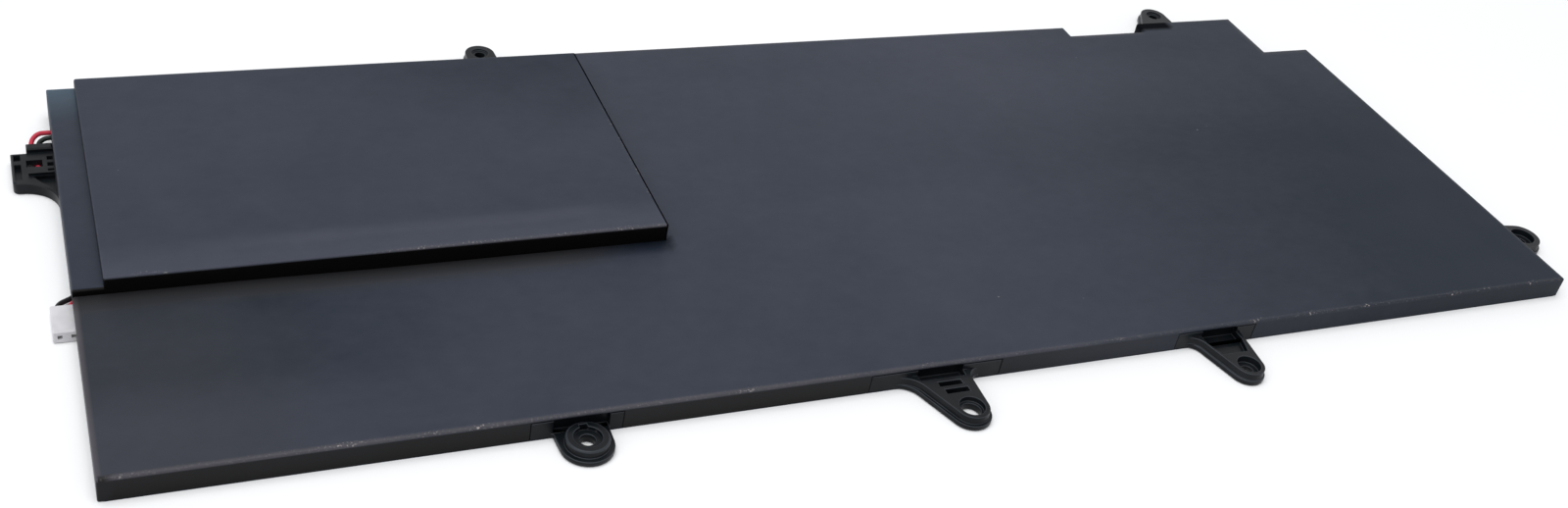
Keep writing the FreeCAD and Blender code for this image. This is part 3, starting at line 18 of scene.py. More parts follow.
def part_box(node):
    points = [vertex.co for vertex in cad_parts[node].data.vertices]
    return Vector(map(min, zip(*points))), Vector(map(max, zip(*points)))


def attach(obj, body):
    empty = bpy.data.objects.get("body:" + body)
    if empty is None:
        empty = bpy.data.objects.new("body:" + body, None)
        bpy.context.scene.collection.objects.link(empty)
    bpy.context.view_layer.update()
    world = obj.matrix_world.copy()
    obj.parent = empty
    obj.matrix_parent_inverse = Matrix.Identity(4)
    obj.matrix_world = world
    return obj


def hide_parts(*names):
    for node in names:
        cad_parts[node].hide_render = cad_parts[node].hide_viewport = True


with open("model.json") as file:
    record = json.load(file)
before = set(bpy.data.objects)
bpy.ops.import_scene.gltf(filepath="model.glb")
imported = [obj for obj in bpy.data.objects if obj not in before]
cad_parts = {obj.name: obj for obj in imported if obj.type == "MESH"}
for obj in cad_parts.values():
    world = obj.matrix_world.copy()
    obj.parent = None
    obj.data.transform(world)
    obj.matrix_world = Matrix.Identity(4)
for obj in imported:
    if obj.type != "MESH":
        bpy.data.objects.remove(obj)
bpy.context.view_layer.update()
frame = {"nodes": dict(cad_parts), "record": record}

MM = 0.001
print("pieces in the packed model:", len(frame["nodes"]))

# %% [markdown]
# Camera
#
# The photograph looks down on the pack from its front left. The place, the turn and the lens were
# found by fitting the slab's corners, so the slab's outline falls where it does in the photograph.
# The camera leans to one side a little, which tilts the long edges.

# %% Camera
CAMERA_PLACE = (-143.4 * MM, -241.1 * MM, 186.5 * MM)
CAMERA_TURN = (53.759, -9.680, -21.979)  # degrees about x, y and z
LENS_LENGTH, SENSOR_WIDTH = 40.0, 36.0  # Blender takes both in millimetres
NEAREST, FARTHEST = 0.01, 20.0

lens = bpy.data.cameras.new("camera")
lens.lens, lens.sensor_width = LENS_LENGTH, SENSOR_WIDTH
lens.clip_start, lens.clip_end = NEAREST, FARTHEST
camera = bpy.data.objects.new("camera", lens)
camera.location = CAMERA_PLACE
camera.rotation_euler = [math.radians(angle) for angle in CAMERA_TURN]
bpy.context.scene.collection.objects.link(camera)
bpy.context.scene.camera = camera
print("camera", round(camera.location.length, 3), "m from the middle of the slab")

# %% [markdown]
# Shader expressions
#
# A finish is a sum of small patterns: broad cloudiness, fine grain, wear along an edge. Written as
# sockets and links it is hard to read, so one small class wraps a socket and overloads the operators.
# An expression such as `0.4 + 0.1 * cloud` then adds its Math nodes by itself.

# %% Shader expressions
class Reading:
    """One output of a shader node, on which Python's operators add Math nodes."""

    def __init__(self, finish, socket):
        self.finish, self.socket = finish, socket

    def maths(self, operation, *values):
        return self.finish.node("ShaderNodeMath", {"operation": operation}, values)

    def __add__(self, other):
        return self.maths("ADD", self, other)

    def __sub__(self, other):
        return self.maths("SUBTRACT", self, other)

    def __rsub__(self, other):
        return self.maths("SUBTRACT", other, self)

    def __mul__(self, other):
        return self.maths("MULTIPLY", self, other)

    def over(self, low, high):
        """0 below low, 1 above high and smooth in between. It falls where low is above high."""
        ends = [self, min(low, high), max(low, high), 0.0, 1.0]
        if low > high:
            ends[3:] = [1.0, 0.0]
        settings = {"interpolation_type": "SMOOTHSTEP"}
        return self.finish.node("ShaderNodeMapRange", settings, ends)

    __radd__ = __add__
    __rmul__ = __mul__


# %% A finish that is built up from nodes
class Finish:
    """A material or a world whose nodes are added one by one."""

    def __init__(self, name, owner=None):
        self.owner = owner or bpy.data.materials.new(name)
        self.owner.use_nodes = True
        self.tree = self.owner.node_tree
        self.tree.nodes.clear()
        self.place = self.node("ShaderNodeTexCoord", output="Object")

    def node(self, kind, settings=None, values=(), output=0):
        """A node of any kind: its settings first, then the values or links of its sockets."""
        made = self.tree.nodes.new(kind)
        for key, value in (settings or {}).items():
            setattr(made, key, value)
        for key, value in values.items() if isinstance(values, dict) else enumerate(values):
            if isinstance(value, Reading):
                self.tree.links.new(value.socket, made.inputs[key])
            elif value is not None:
                made.inputs[key].default_value = value
        return Reading(self, made.outputs[output]) if made.outputs else None

    def coordinate(self, axis):
        """One coordinate of a point, in metres."""
        return self.node("ShaderNodeSeparateXYZ", None, [self.place], axis)

    def cloud(self, grain, detail=2.0, rough=0.5, stretch=(1, 1, 1)):
        """Soft noise from 0 to 1 whose patches are about one grain across, in metres."""
        where = self.node("ShaderNodeMapping", None, {0: self.place, 3: stretch})
        values = {"Vector": where, "Scale": 0.5 / grain, "Detail": detail, "Roughness": rough}
        return self.node("ShaderNodeTexNoise", None, values)

    def specks(self, spacing, share):
        """1 on small dots that are about one spacing apart, and 0 elsewhere."""
        values = {"Vector": self.place, "Scale": 1 / spacing}
        return self.node("ShaderNodeTexVoronoi", None, values).over(share, share * 0.6)

    def mark(self, name):
        """A value that the mesh carries at each of its points or faces."""
        settings = {"attribute_name": name}
        return self.node("ShaderNodeAttribute", settings, output="Fac")

    def blend(self, share, first, second):
        """A colour between two colours."""
        values = {0: share, 6: self.colour(first), 7: self.colour(second)}
        return self.node("ShaderNodeMix", {"data_type": "RGBA"}, values, 2)

    def colour(self, value):
        return value if isinstance(value, Reading) else (*value, 1.0)

    def bump(self, height, distance, strength=1.0, normal=None):
        """A normal that follows a height from 0 to 1, which stands for a distance in metres."""
        values = {"Strength": strength, "Distance": distance, "Height": height, "Normal": normal}
        return self.node("ShaderNodeBump", None, values)

    def shader(self, **sockets):
        """A surface shader. Names of sockets are written with _ for a space."""
        values = {}
        for key, value in sockets.items():
            values[key.replace("_", " ")] = self.colour(value) if isinstance(value, tuple) else value
        return self.node("ShaderNodeBsdfPrincipled", None, values)

    def output(self, shader):
        """The finished material, which shows a shader."""
        self.node("ShaderNodeOutputMaterial", None, [shader])
        return self.owner

    def surface(self, **sockets):
        """The finished material with one plain surface shader."""
        return self.output(self.shader(**sockets))


# %% [markdown]
# Floor and light
#
# The pack lies on a white ground in a white room. The room could be modelled as walls and a ceiling,
# but a plain world colour does the same. The camera and the reflections see it as pure white, and that
# gives the matt film its grey sheen, while the light that it sheds is weaker and slightly blue. A soft
# lamp hangs above the pack, and a weaker one at its left, so that the shadows are short and pale.

# %% Floor
FLOOR_SIZE = 6.0
FLOOR_WHITE = (0.93, 0.93, 0.93)

bpy.ops.object.select_all(action="DESELECT")
bpy.ops.mesh.primitive_plane_add(size=FLOOR_SIZE, location=(0, 0, 0))
floor = bpy.context.object
floor.name = "floor"
paper = Finish("white ground")
white_paper = paper.surface(Base_Color=FLOOR_WHITE, Roughness=0.9, Specular_IOR_Level=0.1)
floor.data.materials.append(white_paper)
print("floor", FLOOR_SIZE, "m wide")

# %% Room
ROOM_COLOUR = (0.93, 0.96, 1.0)
ROOM_STRENGTH = 0.55
RAY_KINDS = ("Camera", "Glossy", "Transmission")  # the rays that see the room as pure white

world = bpy.data.worlds.new("room")
bpy.context.scene.world = world
room = Finish("room", world)
rays = [room.node("ShaderNodeLightPath", output=f"Is {kind} Ray") for kind in RAY_KINDS]
shown = room.node("ShaderNodeBackground", None, {"Color": (1, 1, 1, 1)})
felt = room.node("ShaderNodeBackground", None, {"Color": (*ROOM_COLOUR, 1), "Strength": ROOM_STRENGTH})
mixed = room.node("ShaderNodeMixShader", None, [rays[0] + rays[1] + rays[2], felt, shown])
room.node("ShaderNodeOutputWorld", None, [mixed])
print("room strength", ROOM_STRENGTH)


# %% Lamps
def soft_lamp(name, place, aim, size, power, colour=(1, 1, 1)):
    """A square lamp that points from its place to its aim."""
    light = bpy.data.lights.new(name, "AREA")
    light.shape = "SQUARE"
    light.size, light.energy, light.color = size, power, colour
    lamp = bpy.data.objects.new(name, light)
    lamp.location = place
    lamp.rotation_euler = (Vector(aim) - Vector(place)).to_track_quat("-Z", "Y").to_euler()
    bpy.context.scene.collection.objects.link(lamp)


COOL_WHITE = (0.96, 0.98, 1.0)
soft_lamp("top_lamp", place=(-0.25, -0.1, 1.4), aim=(0, 0, 0), size=1.3, power=14.0)
soft_lamp("side_lamp", place=(-1.2, -0.5, 0.9), aim=(-0.1, 0, 0), size=0.9, power=4.0, colour=COOL_WHITE)
print("lamps:", len(bpy.data.lights))

# %% [markdown]
# Wrapping film
#
# The film is matt and almost black, with a blue cast. Most of the grey that the eye sees is the white
# room, mirrored in it very softly, so the shader gets a weak and rough reflection over a dark colour.
# An image could carry the tones, but noise and marks stay sharp at any distance. The meshes carry the
# marks: how pale the film is, with painted sheen and painted shade; a painted teal sheen; a warmer hue,
# partly painted shade; a painted highlight near a fold; where it is rubbed; painted shade on the walls,
# which are also glossier, and a scuff; and where deep shade is painted in nearly black.

# %% Colours of the film
FILM_DARK = (0.0045, 0.0100, 0.0200)
FILM_PALE = (0.0425, 0.0480, 0.0670)
# The teal stands for a painted sheen, and the warm hue is partly painted shade.
FILM_TEAL_SHEEN = (0.0550, 0.0850, 0.1150)
FILM_WARM = (0.0350, 0.0335, 0.0335)
# Painted shade: near black on the walls, and nearly black where deep shade is painted.
FILM_WALL_SHADE = (0.0022, 0.0019, 0.0020)
FILM_DEEP_SHADE = (0.0015, 0.0015, 0.0017)
# A painted highlight, paler than the film, along its folds.
FOLD_HIGHLIGHT_COLOUR = (0.0900, 0.0800, 0.0880)
FLECK_COLOUR = (0.45, 0.41, 0.38)

# %% Wrapping film
BROAD_GRAIN, PATCH_GRAIN, SMALL_GRAIN, FINE_GRAIN = 34 * MM, 5 * MM, 1.6 * MM, 0.22 * MM
BROAD_SHARE, PATCH_SHARE, SMALL_SHARE = 0.40, 0.34, 0.26
CHIP_GRAIN, CHIP_STRENGTH = 0.17 * MM, 0.7
DUST_SPACING, DUST_SIZE, DUST_DRIFT = 9 * MM, 0.018, 30 * MM  # the size is a share of the spacing
DUST_STRENGTH = 0.5
FILM_ROUGHNESS, FILM_SPECULAR = 0.42, 0.15


def film_finish(name):
    """Matt wrapping film, read from marks: painted sheen, shade and highlights, teal sheen, warmth and
    wear.
    """
    film = Finish(name)
    broad = film.cloud(BROAD_GRAIN, 3.0, 0.55, stretch=(1, 1.6, 1))
    patches = film.cloud(PATCH_GRAIN, 3.0, 0.6)
    small = film.cloud(SMALL_GRAIN, 2.0, 0.6, stretch=(1, 1.5, 1))
    grain = film.cloud(FINE_GRAIN, 2.0, 0.6)
    fold, tight = film.mark("fold"), film.mark("tight")

    cloudy = BROAD_SHARE * (broad - 0.5) + PATCH_SHARE * (patches - 0.5) + SMALL_SHARE * (small - 0.5)
    # Painted sheen and shade by place, with the film's own uneven tone from noise.
    tone = film.blend(film.mark("tint") + cloudy, FILM_DARK, FILM_PALE)
    # A painted teal sheen, then a warmer hue that is partly painted shade.
    tone = film.blend(film.mark("teal_sheen"), tone, FILM_TEAL_SHEEN)
    tone = film.blend(film.mark("warm"), tone, FILM_WARM)
    # A painted highlight along the folds, then painted shade on the walls.
    tone = film.blend(fold * (0.25 + 0.5 * patches), tone, FOLD_HIGHLIGHT_COLOUR)
    tone = film.blend(tight, tone, FILM_WALL_SHADE)

    flecks = film.mark("worn") * film.cloud(CHIP_GRAIN, 2.0, 0.6).over(0.58, 0.66)
    dust = film.specks(DUST_SPACING, DUST_SIZE) * film.cloud(DUST_DRIFT).over(0.45, 0.6)
    tone = film.blend(flecks * CHIP_STRENGTH, tone, FLECK_COLOUR)
    tone = film.blend(dust * DUST_STRENGTH, tone, FLECK_COLOUR)

    rough = FILM_ROUGHNESS + 0.10 * patches + 0.08 * broad - 0.06 * fold - 0.16 * tight
    fine_relief = film.bump(grain, 0.02 * MM, strength=0.35)
    relief = film.bump(patches, 0.05 * MM, strength=0.5, normal=fine_relief)
    sheet = film.shader(
        Base_Color=tone, Roughness=rough, Normal=relief, Specular_IOR_Level=FILM_SPECULAR,
    )
    # Nearly black, mixed in where deep shade is painted.
    shade = film.shader(Base_Color=FILM_DEEP_SHADE, Roughness=1.0, Specular_IOR_Level=0.0)
    return film.output(film.node("ShaderNodeMixShader", None, [film.mark("line"), sheet, shade]))


# %% [markdown]
# Moulded plastics and leads
#
# Moulded plastic takes a fine grain from its mould, and its gloss is slightly uneven. The grain could
# be modelled, but it is far too fine for that, so a bump stands for it. The lugs carry a mark on their
# rounded edges that face up, where a lighter colour is painted in as a highlight.

# %% Moulded plastics and leads
# The rims' lighter colour is a painted highlight.
RIM_HIGHLIGHT_COLOUR = (0.044, 0.049, 0.058)
SOFT_GRAIN = 2.5 * MM


def moulded_finish(name, colour, roughness, grain=0.12, depth=0.012, spread=0.06, shine=0.2, rim_highlight=None):
    """Moulded plastic, a little cloudy. Its grain and the grain's depth are in millimetres."""
    plastic = Finish(name)
    fine = plastic.cloud(grain * MM, 2.0, 0.6)
    soft = plastic.cloud(SOFT_GRAIN, 2.0)
    lighter = tuple(min(1.0, channel * 1.25 + 0.004) for channel in colour)
    tone = plastic.blend(soft.over(0.35, 0.7), colour, lighter)
    if rim_highlight:
        tone = plastic.blend(plastic.mark("rim_highlight") * (0.35 + 0.65 * soft), tone, rim_highlight)
    rough = roughness + spread * soft
    relief = plastic.bump(fine, depth * MM, strength=0.5)
    return plastic.surface(Base_Color=tone, Roughness=rough, Normal=relief, Specular_IOR_Level=shine)


def lug_finish(name):
    """The black plastic of the lugs and the bracket, glossier than the rest, with painted rim highlights.
    """
    return moulded_finish(name, (0.0040, 0.0054, 0.0070), 0.30, shine=0.14, rim_highlight=RIM_HIGHLIGHT_COLOUR)


def sleeve_finish(name, colour, roughness):
    """The soft insulation of a lead, with an uneven gloss."""
    return moulded_finish(name, colour, roughness, grain=0.1, depth=0.01, spread=0.1)


# %% [markdown]
# Metals, foil and circuit board
#
# Inside the pack are tabs, nickel strips, pouches of foil and a green circuit board. Each could have an
# image, but one pattern tells what it is: rolling marks on metal, shallow dents in foil, and faint
# copper tracks below the board's mask.

# %% Metals, foil and circuit board
FOIL_COLOUR = (0.62, 0.63, 0.65)
MASK_GREEN, TRACK_GREEN = (0.008, 0.06, 0.028), (0.02, 0.12, 0.05)
TRACK_TURNS = 2200  # radians of the tracks' wave in one metre


def metal_finish(name, colour, roughness):
    """Bare or plated metal with fine rolling marks."""
    metal = Finish(name)
    marks = metal.cloud(0.2 * MM, 3.0, 0.6, stretch=(1, 8, 1))
    tone = metal.blend(marks, colour, tuple(channel * 0.85 for channel in colour))
    rough = roughness + 0.12 * marks
    relief = metal.bump(marks, 0.005 * MM)
    return metal.surface(Base_Color=tone, Roughness=rough, Metallic=1.0, Normal=relief)


def foil_finish(name):
    """Laminated pouch foil: satin metal with shallow soft dents."""
    foil = Finish(name)
    dents = foil.cloud(7 * MM, 2.0)
    weave = foil.cloud(0.4 * MM, 1.0)
    rough = 0.34 + 0.1 * dents
    relief = foil.bump(weave, 0.01 * MM, strength=0.4, normal=foil.bump(dents, 0.12 * MM))
    return foil.surface(Base_Color=FOIL_COLOUR, Roughness=rough, Metallic=0.85, Normal=relief)


def board_finish(name):
    """Green solder mask with faint copper tracks below it."""
    board = Finish(name)
    turn = TRACK_TURNS * board.coordinate(0)
    tracks = turn.maths("SINE", turn).over(0.55, 0.8) * board.cloud(2 * MM).over(0.45, 0.55)
    tone = board.blend(tracks, MASK_GREEN, TRACK_GREEN)
    relief = board.bump(tracks, 0.02 * MM)
    return board.surface(Base_Color=tone, Roughness=0.3 + 0.1 * tracks, Normal=relief)


# %% One finish for each material of the pack
FINISHES = {
    "dark_film": film_finish("wrapping film"),
    "frame_plastic": moulded_finish("frame plastic", (0.02, 0.02, 0.023), 0.5),
    "black_plastic": lug_finish("black moulded plastic"),
    "pad_tape": moulded_finish("foam tape", (0.7, 0.7, 0.66), 0.8, grain=0.4, depth=0.05),
    "tab_metal": metal_finish("cell tab", (0.78, 0.79, 0.80), 0.3),
    "nickel_strip": metal_finish("nickel strip", (0.62, 0.59, 0.54), 0.28),
    "board_laminate": board_finish("circuit board"),
    "chip_black": moulded_finish("chip package", (0.02, 0.02, 0.022), 0.5, grain=0.05),
    "resistor_metal": metal_finish("resistor alloy", (0.42, 0.40, 0.38), 0.45),
    "fuse_body": moulded_finish("fuse ceramic", (0.62, 0.58, 0.48), 0.5),
    "capacitor_ceramic": moulded_finish("capacitor ceramic", (0.36, 0.22, 0.12), 0.4, grain=0.05),
    "sensor_bead": moulded_finish("sensor film", (0.32, 0.15, 0.04), 0.25),
    "red_sleeve": sleeve_finish("red sleeve", (0.47, 0.028, 0.055), 0.38),
    "black_sleeve": sleeve_finish("black sleeve", (0.006, 0.011, 0.010), 0.36),
    "dark_sleeve": sleeve_finish("dark sleeve", (0.012, 0.012, 0.013), 0.4),
    "white_nylon": moulded_finish("white nylon", (0.52, 0.51, 0.525), 0.42, grain=0.15, depth=0.01),
    "contact_metal": metal_finish("tin plating", (0.72, 0.66, 0.52), 0.3),
    "pouch_foil": foil_finish("pouch foil"),
}
print("finishes:", len(FINISHES))

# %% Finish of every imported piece
slots = {row["node"]: row["material_slot"] for row in frame["record"]["subparts"]}
for name, piece in frame["nodes"].items():
    piece.data.materials.clear()
    piece.data.materials.append(FINISHES[slots[name]])
print("pieces with a finish:", len(slots))

# %% [markdown]
# Wrapping film of the slab
#
# On the real pack one sheet of film is stretched over the frame and the cells, folded down round the
# edge and cut out round each lug. It could be a subdivided cube, but a sheet is nearer to how it is
# made: a fine grid is cut to the outline, its rim is pulled down and the fold is rounded. Then the
# sheet is pushed about softly, as it sinks between the cells and lifts at the foot of the block.

# %% Open a piece, select by place, cut and delete
FAR = 1.0  # farther out than any piece


def edit(piece):
    """Deselect everything, and open one piece in edit mode."""
    if bpy.context.mode != "OBJECT":
        bpy.ops.object.mode_set(mode="OBJECT")
    bpy.ops.object.select_all(action="DESELECT")
    bpy.context.view_layer.objects.active = piece
    piece.select_set(True)
    bpy.ops.object.mode_set(mode="EDIT")
    bpy.ops.mesh.select_all(action="DESELECT")


def leave_edit():
    bpy.ops.object.mode_set(mode="OBJECT")


def pick(piece, kind, test):
    """Select the faces or edges of the open piece whose middle passes a test, and count them."""
    bpy.ops.mesh.select_mode(type={"faces": "FACE", "edges": "EDGE"}[kind])
    bpy.ops.mesh.select_all(action="DESELECT")
    mesh = bmesh.from_edit_mesh(piece.data)
    found = 0
    for part in getattr(mesh, kind):
        middle = sum((v.co for v in part.verts), Vector()) / len(part.verts)
        if test(part, middle):
            part.select_set(True)
            found += 1
    bmesh.update_edit_mesh(piece.data)
    return found


def cut_selected(axis, place):
    """Cut what is selected in the open piece with a plane across one axis."""
    normal = [0.0, 0.0, 0.0]
    point = [0.0, 0.0, 0.0]
    normal[axis], point[axis] = 1.0, place
    bpy.ops.mesh.bisect(plane_co=point, plane_no=normal, threshold=0.001 * MM)


def delete_faces(piece, low, high):
    """Delete the faces of the open piece whose middle lies in a box."""
    if pick(piece, "faces", lambda face, m: all(a < c < b for a, c, b in zip(low, m, high))):
        bpy.ops.mesh.delete(type="FACE")


# %% Make a flat sheet with a grid
def grid_lines(stops, step):
    """Places between the stops at even steps, the stops among them."""
    places = []
    for low, high in zip(stops, stops[1:]):
        parts = max(1, round((high - low) / step))
        places += [low + (high - low) * i / parts for i in range(parts)]
    return places + [stops[-1]]


def flat_sheet(name, across, along, level):
    """A flat sheet at a level, cut into a grid at the places given for its two sides."""
    bpy.ops.object.select_all(action="DESELECT")
    bpy.ops.mesh.primitive_plane_add(size=1.0)
    sheet = bpy.context.object
    sheet.name = name
    edit(sheet)
    bpy.ops.mesh.select_all(action="SELECT")
    bpy.ops.transform.resize(value=(across[-1] - across[0], along[-1] - along[0], 1.0))
    middle = ((across[0] + across[-1]) / 2, (along[0] + along[-1]) / 2, level)
    bpy.ops.transform.translate(value=middle)
    for axis, places in ((0, across), (1, along)):
        for place in places[1:-1]:
            bpy.ops.mesh.select_all(action="SELECT")
            cut_selected(axis, place)
    return sheet


# %% Fold a sheet down and give it its thickness
FILM_THICK = 0.2 * MM
SMOOTH_ANGLE = math.radians(50)


def fold_down(piece, level, floor_level, radius, segments, held=lambda middle: False):
    """Pull the free rim of the open sheet down and round the fold and the upright corners."""
    def free(edge, middle):
        return edge.is_boundary and not held(middle)

    def folded(edge, middle):
        if edge.is_boundary:
            return False
        first, second = edge.link_faces
        return abs(first.normal.dot(second.normal)) < 0.5

    pick(piece, "edges", free)
    move = {"value": (0, 0, floor_level - level)}
    bpy.ops.mesh.extrude_region_move(TRANSFORM_OT_translate=move)
    bmesh.from_edit_mesh(piece.data).normal_update()
    count = pick(piece, "edges", folded)
    bpy.ops.mesh.bevel(offset=radius, segments=segments, affect="EDGES", clamp_overlap=True)
    return count


def close_sheet(piece):
    """Give an open sheet its thickness, inwards, and shade it smooth."""
    bpy.context.view_layer.objects.active = piece
    shell = piece.modifiers.new("thickness", "SOLIDIFY")
    shell.thickness, shell.offset = FILM_THICK, -1.0
    bpy.ops.object.modifier_apply(modifier="thickness")
    bpy.ops.object.shade_smooth_by_angle(angle=SMOOTH_ANGLE)


# %% Slab film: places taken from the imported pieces
GAP = 0.12 * MM
FOLD_RIM = 0.95 * MM  # a grid line this far inside the rim ends the fold's marks

slab_low, slab_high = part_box("top_film")
block_low, block_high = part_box("block_film")
plug_low, plug_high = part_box("plug_housing")
lug_boxes = {name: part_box(name) for name in sorted(frame["nodes"]) if "_lug" in name}
LEFT, RIGHT, FRONT, BACK = slab_low.x, slab_high.x, slab_low.y, slab_high.y
NOTCH_X, NOTCH_Y = RIGHT - 12.4 * MM, BACK - 15.4 * MM
RECESS_X0, RECESS_X1, RECESS_Y = LEFT + 217.7 * MM, LEFT + 238.0 * MM, BACK - 3.8 * MM
STEP_X, STEP_Y = LEFT + 5.5 * MM, block_high.y

across = {LEFT, LEFT + FOLD_RIM, STEP_X, block_high.x, RECESS_X0, RECESS_X1}
across |= {NOTCH_X, RIGHT - FOLD_RIM, RIGHT}
along = {FRONT, FRONT + FOLD_RIM, plug_low.y - GAP, block_low.y, block_high.y}
along |= {NOTCH_Y, RECESS_Y, BACK - FOLD_RIM, BACK}
for name, (low, high) in lug_boxes.items():
    if name == "right_end_lug":
        along |= {low.y - GAP, high.y + GAP}
    else:
        across |= {low.x - GAP, high.x + GAP}
print("slab film", [round(v / MM, 1) for v in slab_high - slab_low], "mm, lugs", len(lug_boxes))

# %% Slab film: the sheet and its outline
GRID_STEP = 1.7 * MM

sheet_x, sheet_y = grid_lines(sorted(across), GRID_STEP), grid_lines(sorted(along), GRID_STEP)
slab_film = flat_sheet("slab_film", sheet_x, sheet_y, slab_high.z)
delete_faces(slab_film, (NOTCH_X, NOTCH_Y, -FAR), (FAR, FAR, FAR))
delete_faces(slab_film, (RECESS_X0, RECESS_Y, -FAR), (RECESS_X1, FAR, FAR))
delete_faces(slab_film, (-FAR, STEP_Y, -FAR), (STEP_X, FAR, FAR))
delete_faces(slab_film, (-FAR, block_low.y, -FAR), (block_high.x, block_high.y, FAR))
print("grid", len(sheet_x), "x", len(sheet_y))

# %% Slab film: fold its rim down
SLAB_FOLD, SLAB_FOLD_PARTS = 0.55 * MM, 5


def at_block(middle):
    """Whether a rim edge of the slab's film is where the block stands."""
    near = 0.01 * MM
    return middle.x < block_high.x + near and block_low.y - near < middle.y < block_high.y + near


folds = fold_down(slab_film, slab_high.z, slab_low.z, SLAB_FOLD, SLAB_FOLD_PARTS, at_block)
print("folded edges", folds)

# %% Slab film: cut its walls out round the lugs and the plug
ON_PLANE = 0.02 * MM  # what is this near to a plane lies in it
WALL_REACH = 1.5 * MM  # a box that reaches this far in takes the whole wall
LUG_GAP_HEIGHT = 3.65 * MM

gap_top = slab_low.z + LUG_GAP_HEIGHT
pick(slab_film, "faces", lambda face, m: m.z < slab_high.z - ON_PLANE)
cut_selected(2, gap_top)
for name, (low, high) in lug_boxes.items():
    if name.startswith("front"):
        start, end = (low.x - GAP, -FAR, -FAR), (high.x + GAP, FRONT + WALL_REACH, gap_top)
    elif name.startswith("back"):
        start, end = (low.x - GAP, BACK - WALL_REACH, -FAR), (high.x + GAP, FAR, gap_top)
    else:
        start, end = (RIGHT - WALL_REACH, low.y - GAP, -FAR), (FAR, high.y + GAP, gap_top)
    delete_faces(slab_film, start, end)
plug_top = plug_high.z + GAP
pick(slab_film, "faces", lambda face, m: m.x < LEFT + ON_PLANE)
cut_selected(2, plug_top)
delete_faces(slab_film, (-FAR, plug_low.y - GAP, -FAR), (LEFT + WALL_REACH, block_low.y, plug_top))
leave_edit()
print("faces", len(slab_film.data.polygons))

# %% [markdown]
# Soft unevenness
#
# A film that is stretched over a frame is only nearly flat. It lies on the ribs, sinks a little over
# each cell, and carries broad shallow waves. It could be sculpted, or displaced by a texture. Here the
# points are moved by a function of their place, so the same unevenness comes out at each run.

# %% Smooth steps and waves
def smooth_step(value, low, high):
    """0 below low, 1 above high and smooth in between."""
    share = min(1.0, max(0.0, (value - low) / (high - low)))
    return share * share * (3 - 2 * share)


def falling(value, low, high):
    """1 below low, 0 above high and smooth in between."""
    return 1 - smooth_step(value, low, high)


def inside_box(x, y, low, high, blend):
    """1 well inside a rectangle, 0 outside it, and smooth over a blend along its sides."""
    nearest = min(x - low.x, high.x - x, y - low.y, high.y - y)
    return smooth_step(nearest, 0, blend)


def wave(x, y, grain, seed):
    """Broad noise between 0 and 1."""
    return 0.5 + 0.5 * noise.noise(Vector((x / grain, y / grain, seed)))


# %% Slab film: lift and crease at the foot of the block
FOOT_LIFT, LIFT_AHEAD = 0.34 * MM, (0.3 * MM, 3.2 * MM)
LIFT_FADE_X = (-118 * MM, -85 * MM)  # the lift fades to a quarter between these places
SWELL_X, SWELL_AHEAD, SWELL_WIDER = -120 * MM, 4.6 * MM, 2.2
SWELL_SHARE, SWELL_REACH = 0.7, (1.2 * MM, 4.2 * MM)
CREASE_X, CREASE_AHEAD, CREASE_SLANT = -122 * MM, 7.0 * MM, 0.23
CREASE_SHARE, CREASE_WIDTH = 0.6, (0.2 * MM, 1.6 * MM)
CREASE_MIDDLE_X, CREASE_LENGTH = -118.6 * MM, (2.5 * MM, 6 * MM)
BEHIND_FOOT = 1 * MM  # the marks and the lift end this far behind the block's front


def foot_lift(x, y):
    """The film rises towards the foot of the block, most at the left, and creases before it."""
    ahead = block_low.y - y
    if ahead < -BEHIND_FOOT or x > block_high.x:
        return 0.0
    rise = falling(ahead, *LIFT_AHEAD) * (1 - 0.75 * smooth_step(x, *LIFT_FADE_X))
    from_swell = math.hypot((x - SWELL_X) / SWELL_WIDER, ahead - SWELL_AHEAD)
    swell = SWELL_SHARE * falling(from_swell, *SWELL_REACH)
    from_crease = abs(ahead - CREASE_AHEAD + CREASE_SLANT * (x - CREASE_X))
    along_crease = falling(abs(x - CREASE_MIDDLE_X), *CREASE_LENGTH)
    crease = CREASE_SHARE * along_crease * falling(from_crease, *CREASE_WIDTH)
    return FOOT_LIFT * (max(rise, swell) - crease)


# %% Slab film: sink over the cells
CELL_SINK, CELL_BLEND = 0.16 * MM, 9 * MM
WAVE_SINK, WAVE_GRAIN = 0.07 * MM, 55 * MM
RIPPLE_SINK, RIPPLE_GRAIN = 0.03 * MM, 11 * MM

SLAB_CELLS = ["front_cell_left", "front_cell_right", "back_cell_middle", "back_cell_right"]
cell_boxes = [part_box(name) for name in SLAB_CELLS]


def slab_sink(x, y):
    """How far the slab's film lies below its flat level."""
    sink = sum(CELL_SINK * inside_box(x, y, low, high, CELL_BLEND) for low, high in cell_boxes)
    waves = WAVE_SINK * wave(x, y, WAVE_GRAIN, 1.0)
    return sink + (waves + RIPPLE_SINK * wave(x, y, RIPPLE_GRAIN, 7.0))


for point in slab_film.data.vertices:
    x, y, z = point.co
    height = (z - slab_low.z) / (slab_high.z - slab_low.z)
    point.co.z -= (slab_sink(x, y) - foot_lift(x, y)) * smooth_step(height, 0.2, 1.0)
print("cells under the slab's film", len(cell_boxes))

# %% [markdown]
# Painted sheen and shade, fold highlights and wear of the slab's film
#
# The film doesn't look one grey. Painted sheen makes it palest in the middle, and painted shade makes
# it darker at the left and right and nearly black on its walls and at the foot of the block. A painted
# highlight runs along its folds, and its front fold is rubbed in places. It could be painted by hand in
# texture paint. Here each point of the mesh stores a few values, worked out from its place, and the
# film's shader reads them by name.

